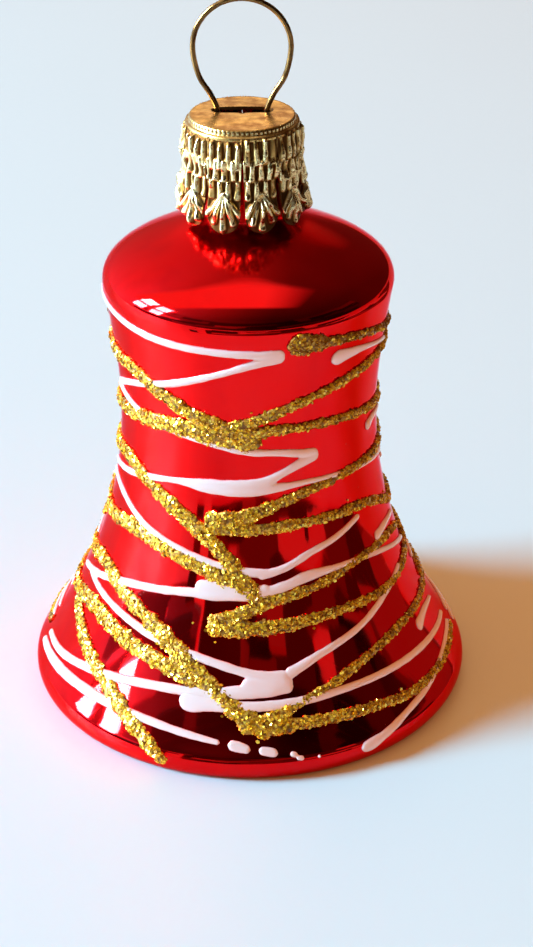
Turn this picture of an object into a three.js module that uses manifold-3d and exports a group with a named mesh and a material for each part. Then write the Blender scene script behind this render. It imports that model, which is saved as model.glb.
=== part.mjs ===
// A blown glass bell ornament with a crown cap, a wire hanger, a clapper and laid-on trails.
// Millimetres. The bell stands on z = 0 about the z axis, and its front faces -y.
import * as THREE from "three";
import { mergeVertices } from "three/addons/utils/BufferGeometryUtils.js";
import Module from "manifold-3d";

// Bell
const rimDiameter = 52;
const waistDiameter = 29.4;
const waistHeight = 37;
const shoulderDiameter = 32.7;
const shoulderHeight = 51.5;
const shoulderRound = 2;
const domeRise = 6.2; // from the shoulder's widest ring to the foot of the neck
const neckDiameter = 9.6;
const neckLength = 10.3;
const neckFillet = 1.7;
const glassWall = 0.8;
const lipRound = 2.2;
const lipHeight = 1.9; // centre of the rounded lip
const rimLand = 0.9; // flat ring that the bell stands on
const flarePower = 2.2;
const upperPower = 1.4;

// Cap
const capSheet = 0.3;
const capHeadroom = 1.3; // from the top of the neck to the underside of the cap
const capOffset = -0.5; // the cap sits a little to one side on the neck
const capEdgeStep = 0.5; // from the rim of the cap's top out to the skirt
const skirtClearance = 0.5; // from the bridge's ends out to the skirt
const skirtFlare = 0.8; // the skirt's spread from its top to the petal tips
const tipClearance = 0.9; // from the petal tips down to the dome
const petalCount = 10;
const tierStep = 0.18;
const slitWidth = 0.5;
const slotWidth = 1.6;
const slotEndRoom = 0.4; // from a hanger leg to the end of the slot
const slotBack = 0.9; // the slot is cut behind the middle of the cap

// Wires and clapper
const hangerWire = 0.6;
const hangerLoopRadius = 5.25; // to the middle of the wire
const hangerLoopRise = 7.35; // from the cap to the loop's centre
const hangerLegDepth = 6.7; // below the cap's top
const legClearance = 0.6; // from a hanger leg to the neck's bore
const clapperWire = 0.5;
const eyeRadius = 1; // to the middle of the wire
const beadDiameter = 8;
const beadBore = 1.1;
const beadHeight = 12; // centre of the bead above the rim
const bridgeDip = 1.7;
const bridgeEndLength = 1.6; // down the outside of the neck

// Trails
const whiteThickness = 0.25;
const goldThickness = 0.4;
const trailLift = 0.16; // under the white trails, and between white and gold
const trailStep = 3.6; // longest straight stretch of a trail on the glass
const endTaper = 0.55; // width of a trail's end against its line
const patternRepeats = 2;

// Clearances and fineness
const fitGap = 0.3;
const bellSegments = 60;
const capSegments = 50;
const wireSides = 8;
const sliverSize = 0.02;

const rimRadius = rimDiameter / 2;
const waistRadius = waistDiameter / 2;
const shoulderRadius = shoulderDiameter / 2;
const neckRadius = neckDiameter / 2;
const neckFoot = shoulderHeight + domeRise;
const neckTop = neckFoot + neckLength;
const boreRadius = neckRadius - glassWall;
const capTop = neckTop + capHeadroom + capSheet;
const capUnderside = capTop - capSheet;
const skirtTopRadius = neckRadius + fitGap + hangerWire + skirtClearance + capSheet;
const skirtTipRadius = skirtTopRadius + skirtFlare;
const legX = boreRadius - hangerWire / 2 - legClearance - Math.abs(capOffset);

const glass = new THREE.MeshStandardMaterial({ color: 0xb3101c, roughness: 0.08, metalness: 0.7 });
const capMetal = new THREE.MeshStandardMaterial({ color: 0xc9a865, roughness: 0.28, metalness: 1 });
const wireMetal = new THREE.MeshStandardMaterial({ color: 0xc79a4b, roughness: 0.22, metalness: 1 });
const steelWire = new THREE.MeshStandardMaterial({ color: 0xa9a9a6, roughness: 0.35, metalness: 1 });
const beadGlass = new THREE.MeshStandardMaterial({ color: 0xd8d2c4, roughness: 0.12, metalness: 0.4 });
const goldGlitter = new THREE.MeshStandardMaterial({ color: 0xb98d3a, roughness: 0.5, metalness: 0.8 });
const whiteEnamel = new THREE.MeshStandardMaterial({ color: 0xf2dfe0, roughness: 0.2, metalness: 0 });

const wasm = await Module();
wasm.setup();

const bellOrnament = new THREE.Group();

function addPiece(name, geometry, material) {
  const mesh = new THREE.Mesh(geometry, material);
  mesh.name = name;
  bellOrnament.add(mesh);
  return mesh;
}

function toSolid(geometry) {
  const bare = geometry.index ? geometry.toNonIndexed() : geometry.clone();
  bare.deleteAttribute("normal");
  bare.deleteAttribute("uv");
  const merged = mergeVertices(bare, 1e-4);
  return new wasm.Manifold(
    new wasm.Mesh({
      numProp: 3,
      vertProperties: merged.attributes.position.array,
      triVerts: new Uint32Array(merged.index.array),
    }),
  );
}

function toGeometry(solid) {
  const mesh = solid.getMesh();
  const geometry = new THREE.BufferGeometry();
  geometry.setAttribute("position", new THREE.BufferAttribute(mesh.vertProperties, 3));
  geometry.setIndex(new THREE.BufferAttribute(mesh.triVerts, 1));
  geometry.computeVertexNormals();
  return geometry;
}

// A profile of radius against height turned about the z axis.
function turned(profile, segments) {
  const geometry = new THREE.LatheGeometry(profile, segments);
  geometry.rotateX(Math.PI / 2);
  return geometry;
}

// The same profile moved to its left by a distance, for the inner face of a sheet or wall.
function offsetProfile(profile, distance) {
  return profile.map((point, i) => {
    const before = profile[Math.max(i - 1, 0)];
    const after = profile[Math.min(i + 1, profile.length - 1)];
    const along = after.clone().sub(before).normalize();
    return new THREE.Vector2(point.x - along.y * distance, point.y + along.x * distance);
  });
}

function wireAlong(points, diameter, steps) {
  const section = new THREE.Shape().absarc(0, 0, diameter / 2, 0, 2 * Math.PI);
  const path = new THREE.CatmullRomCurve3(points, false, "centripetal");
  return new THREE.ExtrudeGeometry(section, {
    steps,
    curveSegments: wireSides / 2,
    bevelEnabled: false,
    extrudePath: path,
  });
}

// Bell

// The lip ends and the flare starts where the lip's round has turned up to this angle.
const lipEndAngle = THREE.MathUtils.degToRad(35);
const lipStartAngle = -Math.asin(lipHeight / lipRound);
const flareFootRadius = rimRadius - lipRound + lipRound * Math.cos(lipEndAngle);
const flareFootHeight = lipHeight + lipRound * Math.sin(lipEndAngle);

function flareRadius(height) {
  const share = (waistHeight - height) / (waistHeight - flareFootHeight);
  return waistRadius + (flareFootRadius - waistRadius) * share ** flarePower;
}

function upperRadius(height) {
  const share = (height - waistHeight) / (shoulderHeight - waistHeight);
  return waistRadius + (shoulderRadius - waistRadius) * share ** upperPower;
}

function bellOuterProfile() {
  const profile = [];
  const lipSteps = 5;
  for (let i = 0; i < lipSteps; i += 1) {
    const angle = THREE.MathUtils.lerp(lipStartAngle, lipEndAngle, i / lipSteps);
    const radius = rimRadius - lipRound + lipRound * Math.cos(angle);
    profile.push(new THREE.Vector2(radius, lipHeight + lipRound * Math.sin(angle)));
  }
  const flareSteps = 9;
  for (let i = 0; i < flareSteps; i += 1) {
    const height = THREE.MathUtils.lerp(flareFootHeight, waistHeight, (i / flareSteps) ** 1.25);
    profile.push(new THREE.Vector2(flareRadius(height), height));
  }
  const upperSteps = 4;
  for (let i = 0; i < upperSteps; i += 1) {
    const height = THREE.MathUtils.lerp(waistHeight, shoulderHeight, i / upperSteps);
    profile.push(new THREE.Vector2(upperRadius(height), height));
  }
  const roundEndAngle = THREE.MathUtils.degToRad(62);
  const neckBendRadius = neckRadius + neckFillet;
  const dome = new THREE.Path();
  dome.moveTo(shoulderRadius, shoulderHeight);
  dome.absarc(shoulderRadius - shoulderRound, shoulderHeight, shoulderRound, 0, roundEndAngle);
  const start = dome.currentPoint.clone();
  dome.quadraticCurveTo(
    THREE.MathUtils.lerp(start.x, neckBendRadius, 0.5),
    THREE.MathUtils.lerp(start.y, neckFoot, 0.55),
    neckBendRadius,
    neckFoot,
  );
  dome.quadraticCurveTo(neckRadius, neckFoot + 0.4 * neckFillet, neckRadius, neckFoot + neckFillet);
  dome.lineTo(neckRadius, neckTop);
  return profile.concat(dome.getPoints(3));
}

const bellProfile = bellOuterProfile();

// Outer radius of the glass at a height below the shoulder, for what lies on it.
function bellRadiusAt(height) {
  if (height >= waistHeight) return upperRadius(Math.min(height, shoulderHeight));
  if (height >= flareFootHeight) return flareRadius(height);
  const drop = height - lipHeight;
  return rimRadius - lipRound + Math.sqrt(lipRound ** 2 - drop ** 2);
}

function domeHeightAt(radius) {
  for (let i = bellProfile.length - 1; i > 0; i -= 1) {
    const high = bellProfile[i];
    const low = bellProfile[i - 1];
    if (radius >= high.x && radius <= low.x && low.y >= shoulderHeight) {
      return THREE.MathUtils.mapLinear(radius, high.x, low.x, high.y, low.y);
    }
  }
  return neckFoot;
}

function addBell() {
  const inner = offsetProfile(bellProfile, glassWall).filter((point, i) => {
    return point.y > lipHeight && point.y < neckTop && i % 2 === 0;
  });
  inner.push(new THREE.Vector2(neckRadius - glassWall, neckTop));
  const rimInner = new THREE.Vector2(bellProfile[0].x - rimLand, 0);
  const profile = [...bellProfile, ...inner.reverse(), rimInner, bellProfile[0].clone()];
  addPiece("glass_bell", turned(profile, bellSegments), glass);
}

// Crown cap

const skirtTop = capTop - 1;
const tipHeight = domeHeightAt(skirtTipRadius) + tipClearance;

function capProfile() {
  const capRadius = skirtTopRadius - capEdgeStep;
  const edgeRound = 0.3;
  const outer = [
    new THREE.Vector2(0, capTop),
    new THREE.Vector2(capRadius - edgeRound, capTop),
    new THREE.Vector2(capRadius, capTop - edgeRound),
    new THREE.Vector2(capRadius + 0.1 * capEdgeStep, capTop - 2 * edgeRound),
    new THREE.Vector2(skirtTopRadius, skirtTop),
  ];
  // Three tiers of embossing, each ending in a small step back.
  const tierEnds = [0.33, 0.64];
  for (const share of tierEnds) {
    const radius = THREE.MathUtils.lerp(skirtTopRadius, skirtTipRadius, share);
    const height = THREE.MathUtils.lerp(skirtTop, tipHeight, share);
    outer.push(new THREE.Vector2(radius + tierStep, height));
    outer.push(new THREE.Vector2(radius - tierStep / 2, height - 2 * tierStep));
  }
  outer.push(new THREE.Vector2(skirtTipRadius + tierStep / 2, THREE.MathUtils.lerp(tipHeight, skirtTop, 0.08)));
  outer.push(new THREE.Vector2(skirtTipRadius, tipHeight));
  const inner = [
    new THREE.Vector2(0, capUnderside),
    new THREE.Vector2(capRadius - capSheet, capUnderside),
    new THREE.Vector2(skirtTopRadius - capSheet, skirtTop - capSheet),
    new THREE.Vector2(skirtTipRadius - capSheet, tipHeight),
  ];
  return [...inner, ...outer.reverse()];
}

// The slit between two petals widens downwards and rounds off both petals' tips.
function slitCutter() {
  const tipHalf = (0.84 * Math.PI * skirtTipRadius) / petalCount;
  const half = slitWidth / 2;
  const fanTop = THREE.MathUtils.lerp(tipHeight, skirtTop, 0.18);
  const below = tipHeight - 1;
  const outline = new THREE.Shape();
  outline.moveTo(half / 2, skirtTop);
  outline.lineTo(1.7 * half, fanTop);
  outline.quadraticCurveTo(2 * half, tipHeight + 0.2, tipHalf, tipHeight - 0.02);
  outline.lineTo(tipHalf, below);
  outline.lineTo(-tipHalf, below);
  outline.lineTo(-tipHalf, tipHeight - 0.02);
  outline.quadraticCurveTo(-2 * half, tipHeight + 0.2, -1.7 * half, fanTop);
  outline.lineTo(-half / 2, skirtTop);
  outline.closePath();
  const reach = 2 * skirtTipRadius;
  const cutter = new THREE.ExtrudeGeometry(outline, { depth: reach, bevelEnabled: false, curveSegments: 4 });
  cutter.rotateX(Math.PI / 2);
  return cutter;
}

function addCap() {
  let cap = toSolid(turned(capProfile(), capSegments));
  for (let i = 0; i < petalCount; i += 1) {
    const cutter = slitCutter();
    cutter.rotateZ((2 * Math.PI * i) / petalCount);
    cap = cap.subtract(toSolid(cutter));
  }
  const slotLength = 2 * legX + hangerWire + 2 * slotEndRoom;
  const slot = new THREE.BoxGeometry(slotLength, slotWidth, 4 * capSheet);
  slot.translate(0, slotBack, capTop - capSheet / 2);
  cap = cap.subtract(toSolid(slot));
  addPiece("crown_cap", toGeometry(cap), capMetal).position.x = capOffset;
}

// Hanger: an omega of wire that springs through the cap's slot into the neck

function addHanger() {
  const loopCentre = capTop + hangerLoopRise;
  const right = [
    new THREE.Vector3(legX, 0, capTop - hangerLegDepth),
    new THREE.Vector3(legX, 0, capTop),
    new THREE.Vector3(THREE.MathUtils.lerp(legX, hangerLoopRadius, 0.28), 0, capTop + 0.27 * hangerLoopRise),
    new THREE.Vector3(THREE.MathUtils.lerp(legX, hangerLoopRadius, 0.76), 0, capTop + 0.56 * hangerLoopRise),
  ];
  const loop = [];
  const loopPoints = 9;
  for (let i = 0; i < loopPoints; i += 1) {
    const angle = (Math.PI * i) / (loopPoints - 1);
    loop.push(new THREE.Vector3(Math.cos(angle), 0, Math.sin(angle)).multiplyScalar(hangerLoopRadius));
  }
  loop.forEach((point) => point.setZ(point.z + loopCentre));
  const left = right.map((point) => new THREE.Vector3(-point.x, 0, point.z)).reverse();
  const hanger = addPiece("hanger_wire", wireAlong([...right, ...loop, ...left], hangerWire, 48), wireMetal);
  hanger.position.set(capOffset, slotBack, 0);
}

// Clapper: a bridge over the neck's mouth, a wire with two eyes, and a bead on its own wire

const bridgeRise = hangerWire / 2 + fitGap; // from the neck's rim to the middle of the bridge
const bridgeHeight = neckTop + bridgeRise - bridgeDip;

function addBridge() {
  const half = [
    new THREE.Vector3(0, eyeRadius * 0.7, bridgeHeight),
    new THREE.Vector3(0, eyeRadius * 1.7, bridgeHeight + 0.15 * bridgeDip),
    new THREE.Vector3(0, boreRadius - 0.8, neckTop + bridgeRise - 0.15 * bridgeDip),
    new THREE.Vector3(0, boreRadius, neckTop + bridgeRise),
  ];
  for (const angle of [90, 45, 0]) {
    const turn = THREE.MathUtils.degToRad(angle);
    const outward = neckRadius + bridgeRise * Math.cos(turn);
    half.push(new THREE.Vector3(0, outward, neckTop + bridgeRise * Math.sin(turn)));
  }
  half.push(new THREE.Vector3(0, neckRadius + bridgeRise, neckTop - bridgeEndLength));
  const mirrored = half.map((point) => new THREE.Vector3(0, -point.y, point.z)).reverse();
  addPiece("clapper_bridge", wireAlong([...mirrored, ...half], hangerWire, 32), steelWire);
}

function eyeRing(centreHeight) {
  const ring = new THREE.TorusGeometry(eyeRadius, clapperWire / 2, 6, 16);
  ring.rotateX(Math.PI / 2);
  ring.translate(0, 0, centreHeight);
  return ring;
}

function straightWire(bottom, top) {
  const wire = new THREE.CylinderGeometry(clapperWire / 2, clapperWire / 2, top - bottom, wireSides);
  wire.rotateX(Math.PI / 2);
  wire.translate(0, 0, (bottom + top) / 2);
  return wire;
}

const eyeInner = eyeRadius - clapperWire / 2;
const topEyeCentre = bridgeHeight - (eyeInner - hangerWire / 2 - fitGap);
const beadTop = beadHeight + Math.sqrt((beadDiameter / 2) ** 2 - (beadBore / 2) ** 2);
const beadBottom = 2 * beadHeight - beadTop;
const beadEyeCentre = beadTop + fitGap + eyeRadius + clapperWire / 2;
const beadPivot = beadEyeCentre + eyeInner - clapperWire / 2 - fitGap;
const lowerEyeCentre = beadPivot + eyeRadius;

function addClapper() {
  const rod = toSolid(straightWire(lowerEyeCentre + eyeRadius, topEyeCentre - eyeRadius));
  const wire = rod.add(toSolid(eyeRing(topEyeCentre))).add(toSolid(eyeRing(lowerEyeCentre)));
  addPiece("clapper_wire", toGeometry(wire), steelWire);

  const knotRadius = beadBore / 2 + fitGap;
  const knot = new THREE.SphereGeometry(knotRadius, 12, 8);
  const knotCentre = beadBottom - fitGap - knotRadius;
  knot.translate(0, 0, knotCentre);
  const ring = eyeRing(0);
  ring.rotateZ(Math.PI / 2);
  ring.translate(0, 0, beadEyeCentre);
  const stem = toSolid(straightWire(knotCentre, beadEyeCentre - eyeRadius));
  addPiece("clapper_bead_wire", toGeometry(stem.add(toSolid(knot)).add(toSolid(ring))), steelWire);

  const profile = [];
  const arcSteps = 12;
  const poleAngle = Math.asin(beadBore / beadDiameter);
  for (let i = 0; i <= arcSteps; i += 1) {
    const angle = THREE.MathUtils.lerp(Math.PI - poleAngle, poleAngle, i / arcSteps);
    const radius = (beadDiameter / 2) * Math.sin(angle);
    profile.push(new THREE.Vector2(radius, beadHeight + (beadDiameter / 2) * Math.cos(angle)));
  }
  profile.push(profile[0].clone());
  addPiece("clapper_bead", turned(profile, 24), beadGlass);
}

// Trails laid on the glass. An arm lists [angle in degrees, height, width]; angle 0 is the front.

// Unrolled position of an arm's point; heights are shares of the wall from the floor to the shoulder.
const drawnShoulder = 51.5;

function armCurve(arm) {
  const scale = shoulderHeight / drawnShoulder;
  return new THREE.CatmullRomCurve3(
    arm.map(([angle, height, width]) => {
      const along = THREE.MathUtils.degToRad(angle) * waistRadius;
      return new THREE.Vector3(along, height * scale, width);
    }),
    false,
    "centripetal",
  );
}

// A flat bar bent along the arm's curve and wrapped around the bell at a lift above the glass.
function armSolid(arm, lift, thickness) {
  const curve = armCurve(arm);
  const lowest = Math.min(...curve.points.map((point) => point.y));
  const length = (curve.getLength() * bellRadiusAt(lowest)) / waistRadius;
  const steps = Math.max(3, Math.ceil(length / trailStep));
  const ribbon = new THREE.BoxGeometry(1, 1, thickness, steps, 1, 1);
  ribbon.translate(0.5, 0, lift + thickness / 2);
  const position = ribbon.attributes.position;
  for (let i = 0; i < position.count; i += 1) {
    const share = THREE.MathUtils.clamp(position.getX(i), 0, 1);
    const centre = curve.getPointAt(share);
    const tangent = curve.getTangentAt(share);
    // The unrolled angle is stretched by the bell's radius at this height.
    const stretch = bellRadiusAt(centre.y) / waistRadius;
    const along = new THREE.Vector2(tangent.x * stretch, tangent.y).normalize();
    const isEnd = share < 1e-6 || share > 1 - 1e-6;
    const side = position.getY(i) * centre.z * (isEnd ? endTaper : 1);
    const angle = (centre.x - (along.y * side) / stretch) / waistRadius;
    const height = centre.y + along.x * side;
    // The lift is along the wall's normal, which leans up on the flare and down above the waist.
    const slope = (bellRadiusAt(height + 0.1) - bellRadiusAt(height - 0.1)) / 0.2;
    const above = position.getZ(i) / Math.hypot(1, slope);
    const radius = bellRadiusAt(height) + above;
    position.setXYZ(i, radius * Math.sin(angle), -radius * Math.cos(angle), height - slope * above);
  }
  return toSolid(ribbon);
}

// Where two wraps cross, points closer than a sliver are brought together and loose crumbs go.
function withoutSlivers(solid) {
  const geometry = toGeometry(solid);
  const values = geometry.attributes.position.array;
  for (let i = 0; i < values.length; i += 1) {
    values[i] = Math.round(values[i] / sliverSize) * sliverSize;
  }
  const bodies = toSolid(geometry).decompose();
  bodies.sort((a, b) => b.volume() - a.volume());
  return bodies[0];
}

function addTrail(name, arms, lift, thickness, material) {
  let solid = armSolid(arms[0], lift, thickness);
  for (const arm of arms.slice(1)) solid = solid.add(armSolid(arm, lift, thickness));
  solid = withoutSlivers(solid);
  for (let i = 0; i < patternRepeats; i += 1) {
    const mesh = addPiece(`${name}_${i + 1}`, toGeometry(solid), material);
    mesh.rotation.z = (2 * Math.PI * i) / patternRepeats;
  }
}

const goldTrails = {
  gold_trail_shoulder: [[[16, 49.4, 2], [24, 49.3, 1.1], [40, 49.1, 0.9], [55, 48.6, 0.9], [88, 46.2, 0.8]]],
  gold_trail_upper: [
    [[-89, 44.2, 0.9], [-69, 43.8, 1], [-55, 43.6, 1.1], [-38, 41.9, 1.1], [-19, 39.9, 1.2], [-9, 39, 1.3]],
    [[-11, 38.8, 1.3], [0, 40.2, 1.1], [22, 42, 1.1], [50, 43.6, 1], [89, 44.2, 0.9]],
    [[-89, 36.4, 0.9], [-60, 37.6, 1], [-31, 38.1, 1.1], [-14, 37.8, 2], [2, 37, 1.4]],
    [[-4, 37.7, 1.8], [15, 38.8, 1.1], [43, 38.4, 1], [89, 36.4, 0.9]],
  ],
  gold_trail_middle: [
    [[-89, 30.9, 0.9], [-65, 31.5, 1.1], [-42, 29.4, 1.1], [-25, 27.1, 1.1], [-12, 24.3, 1.1], [4, 18.5, 1.2]],
    [[-89, 22.6, 0.9], [-72, 23.1, 1], [-54, 23.9, 1.1], [-31, 23, 1.1], [-9, 21, 1.1], [5, 18.6, 1.3]],
    [[3, 18.6, 1.3], [23, 19.5, 1.1], [45, 20.7, 1], [70, 20.6, 1], [86, 19.6, 0.8]],
    [[-14, 16, 1.5], [-5, 17.3, 1.2], [10, 18.8, 1.2]],
    [[-14, 15.8, 1.6], [6, 15.9, 1.2], [32, 16.3, 1.1], [61, 15.9, 1], [89, 16.4, 0.9]],
  ],
  gold_trail_turn: [
    [[-17, 27.5, 1.6], [2, 29, 1.1], [24, 30.7, 1.1], [46, 31.4, 1], [89, 30.9, 0.9]],
    [[-17, 27.3, 1.6], [0, 26.9, 1.1], [26, 27.1, 1.1], [58, 26.3, 1], [89, 22.6, 0.9]],
  ],
  gold_trail_lower: [
    [[-89, 16.4, 0.9], [-69, 17.7, 1], [-53, 16.5, 1.1], [-39, 15.2, 1.1], [-25, 12.9, 1.2], [-4, 7.5, 1.2],
      [2, 5.5, 1.7]],
    [[1, 5.8, 1.8], [13, 8.1, 1.1], [25, 9.2, 1.1], [42, 10.8, 1.1], [59, 11.5, 1], [89, 11.2, 0.9]],
    [[1, 5.7, 1.8], [19, 6.1, 1.2], [35, 5.8, 1.1], [52, 5.1, 1.1], [89, 5.2, 0.9]],
    [[-89, 11.2, 0.9], [-66, 12.8, 1], [-46, 12.4, 1], [-30, 11.6, 1], [-16, 10.6, 1]],
    [[-80, 11.4, 1], [-62, 9.1, 1], [-41, 6.2, 1], [-25, 2.7, 1], [-22, 1.6, 1]],
  ],
};

const whiteTrails = {
  white_trail_upper: [
    [[-89, 50, 0.6], [-71, 49.7, 0.7], [-41, 49, 0.7], [-15, 48.8, 0.7], [14, 48.3, 1.1]],
    [[14, 48.1, 1.1], [-3, 46.8, 0.7], [-29, 44.2, 0.7], [-46, 42.6, 0.7], [-63, 41.1, 0.7], [-77, 39.6, 0.9]],
    [[-77, 39.6, 0.9], [-58, 38.5, 0.7], [-21, 37.3, 0.7], [0, 36.3, 0.7], [13, 36, 0.7], [31, 35, 1]],
    [[31, 35, 1], [15, 33.8, 0.8], [-6, 32.3, 0.9], [-31, 31.7, 0.8], [-48, 30.8, 0.7], [-64, 29.7, 0.7],
      [-86, 28.6, 0.6]],
    [[-18, 31.6, 1], [0, 31.7, 1.4], [22, 31.8, 0.9], [50, 31.3, 0.7], [88, 29.6, 0.6]],
  ],
  white_trail_middle: [
    [[-86, 27.4, 0.6], [-71, 26.8, 0.7], [-48, 24.9, 0.7], [-26, 23.5, 0.7], [-4, 22.2, 0.8], [8, 21.8, 1.4]],
    [[5, 21.8, 1.5], [25, 23.5, 0.7], [37, 24.3, 0.7], [52, 25.5, 0.6]],
  ],
  white_trail_lower: [
    [[-89, 13.9, 0.6], [-72, 15.6, 0.7], [-50, 17.7, 0.7], [-29, 18.7, 0.7], [-14, 19.1, 1.5], [8, 19.9, 1.5]],
    [[4, 19.8, 1.4], [18, 20.6, 1.2], [30, 20.9, 0.7], [54, 20.4, 0.7], [88, 17.4, 0.6]],
    [[-80, 14.9, 0.6], [-53, 14.3, 0.7], [-31, 13.3, 0.7], [-13, 12.3, 0.7], [4, 10.8, 1], [13, 10.1, 1.8]],
    [[3, 10.4, 1.6], [23, 12.4, 0.7], [41, 13.9, 0.7], [56, 15.4, 0.7], [72, 16.6, 0.6]],
    [[14, 10.1, 1.6], [-8, 9.5, 1.2], [-31, 8.7, 0.7], [-55, 7.2, 0.7], [-72, 5.9, 0.7], [-85, 5.3, 0.6]],
  ],
  white_trail_band: [[[-23, 7.9, 1.1], [-12, 8.1, 0.8], [10, 8.3, 0.7], [31, 8.4, 0.7], [60, 8, 0.7], [88, 6.9, 0.6]]],
  white_trail_rim: [[[-86, 4.1, 0.6], [-71, 4.7, 0.7], [-52, 5.1, 0.7], [-31, 5.1, 0.7], [-16, 4.5, 0.8], [-2, 4, 0.8]]],
  white_trail_rim_end: [[[30, 2.7, 1.2], [42, 3.6, 0.7], [55, 4.4, 0.7], [75, 5.6, 0.7], [88, 5.7, 0.6]]],
  white_tear_a: [[[35, 46.2, 1.6], [47, 46.4, 0.7], [63, 45.5, 0.6], [78, 44.6, 0.5]]],
  white_tear_b: [[[63, 35, 1.5], [70, 35.6, 0.9], [86, 35.2, 0.5]]],
  white_tear_c: [[[60, 21.6, 1.4], [70, 21.9, 0.9], [84, 21.6, 0.5]]],
  white_tear_d: [[[66, 9.6, 1.5], [75, 10, 0.9], [86, 9.5, 0.5]]],
  white_dash_a: [[[5, 3.7, 0.8], [10, 3.4, 0.7]]],
  white_dash_b: [[[14, 3, 0.8], [18, 2.8, 0.7]]],
};

function addTrails() {
  const goldLift = trailLift + whiteThickness + trailLift;
  for (const [name, arms] of Object.entries(goldTrails)) {
    addTrail(name, arms, goldLift, goldThickness, goldGlitter);
  }
  for (const [name, arms] of Object.entries(whiteTrails)) {
    addTrail(name, arms, trailLift, whiteThickness, whiteEnamel);
  }
}

addBell();
addCap();
addHanger();
addBridge();
addClapper();
addTrails();

export default bellOrnament;
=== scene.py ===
# The looks of a blown glass bell ornament: silvered red glass, crimped cap, wires, clapper, trails.
# Lengths in the dictionaries are millimetres in the part's frame; mm turns them into metres.
import math

import bpy
import numpy as np
from mathutils import Matrix, Vector, noise


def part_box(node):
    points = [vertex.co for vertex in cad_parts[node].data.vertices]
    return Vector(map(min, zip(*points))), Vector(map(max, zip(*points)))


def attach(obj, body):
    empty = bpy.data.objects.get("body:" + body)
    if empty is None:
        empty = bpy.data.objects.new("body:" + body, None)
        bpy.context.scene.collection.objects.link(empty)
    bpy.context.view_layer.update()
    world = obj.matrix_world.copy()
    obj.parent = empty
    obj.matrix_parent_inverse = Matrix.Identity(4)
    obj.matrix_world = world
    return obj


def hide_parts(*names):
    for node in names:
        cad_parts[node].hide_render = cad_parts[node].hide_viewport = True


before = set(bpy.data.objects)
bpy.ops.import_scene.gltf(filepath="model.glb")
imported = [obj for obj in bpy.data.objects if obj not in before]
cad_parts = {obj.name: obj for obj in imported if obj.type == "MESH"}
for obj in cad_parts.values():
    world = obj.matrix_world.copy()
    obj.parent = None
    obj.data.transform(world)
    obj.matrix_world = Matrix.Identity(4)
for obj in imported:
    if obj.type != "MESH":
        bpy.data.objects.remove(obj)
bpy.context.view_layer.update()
mm = 0.001
print("frame loaded")


camera = {
    "place": (0, -223.53, 147.93),
    "pitch": 28.69,  # degrees below level
    "yaw": 0.52,  # degrees towards +X
    "roll": -0.05,
    "lens": 82.43,
}


def placeCamera():
    pitch, yaw, roll = (math.radians(camera[k]) for k in ("pitch", "yaw", "roll"))
    ahead = Vector((math.sin(yaw) * math.cos(pitch), math.cos(yaw) * math.cos(pitch), -math.sin(pitch)))
    right = Vector((math.cos(yaw), -math.sin(yaw), 0))
    up = right.cross(ahead)
    turned = Matrix((right, up, -ahead)).transposed().to_4x4() @ Matrix.Rotation(roll, 4, "Z")
    data = bpy.data.cameras.new("camera")
    data.lens = camera["lens"]
    data.clip_start = 0.01
    eye = bpy.data.objects.new("camera", data)
    eye.matrix_world = Matrix.Translation(Vector(camera["place"]) * mm) @ turned
    bpy.context.scene.collection.objects.link(eye)
    bpy.context.scene.camera = eye


placeCamera()
bpy.context.scene.view_settings.view_transform = "Standard"


def feed(tree, node, inputs):
    # Links each input to a socket, or sets it to a value.
    for name, value in inputs.items():
        if isinstance(value, bpy.types.NodeSocket):
            tree.links.new(value, node.inputs[name])
        elif node.inputs[name].type == "RGBA" and len(value) == 3:
            node.inputs[name].default_value = (*value, 1)
        else:
            node.inputs[name].default_value = value


def addNode(tree, kind, inputs=None, **settings):
    node = tree.nodes.new(kind)
    for name, value in settings.items():
        setattr(node, name, value)
    feed(tree, node, inputs or {})
    return node


def mathNode(tree, operation, a, b=0.0, clamp=False):
    return addNode(tree, "ShaderNodeMath", {0: a, 1: b}, operation=operation, use_clamp=clamp).outputs[0]


def rampNode(tree, factor, stops, interpolation="LINEAR"):
    node = addNode(tree, "ShaderNodeValToRGB", {"Fac": factor})
    ramp = node.color_ramp
    ramp.interpolation = interpolation
    while len(ramp.elements) < len(stops):
        ramp.elements.new(0.5)
    for element, (place, colour) in zip(ramp.elements, stops):
        element.position = place
        element.color = (*colour, 1)
    return node.outputs["Color"]


def grey(value):
    return (value, value, value)


def objectPlace(tree):
    return addNode(tree, "ShaderNodeTexCoord").outputs["Object"]


def storedValue(tree, name):
    return addNode(tree, "ShaderNodeAttribute", attribute_name=name).outputs["Fac"]


def noiseOf(tree, place, scale, detail):
    inputs = {"Vector": place, "Scale": scale, "Detail": detail}
    return addNode(tree, "ShaderNodeTexNoise", inputs).outputs["Fac"]


def rangeNode(tree, value, fromMin, fromMax, toMin=0.0, toMax=1.0):
    inputs = {"Value": value, "From Min": fromMin, "From Max": fromMax, "To Min": toMin, "To Max": toMax}
    return addNode(tree, "ShaderNodeMapRange", inputs).outputs["Result"]


def product(tree, *factors):
    total = factors[0]
    for factor in factors[1:]:
        total = mathNode(tree, "MULTIPLY", total, factor)
    return total


def mixColour(tree, factor, a, b, blend="MIX"):
    # Sockets 6, 7 and 2 are the mix node's two colours and its coloured result.
    return addNode(tree, "ShaderNodeMix", {0: factor, 6: a, 7: b}, data_type="RGBA", blend_type=blend).outputs[2]


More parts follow.
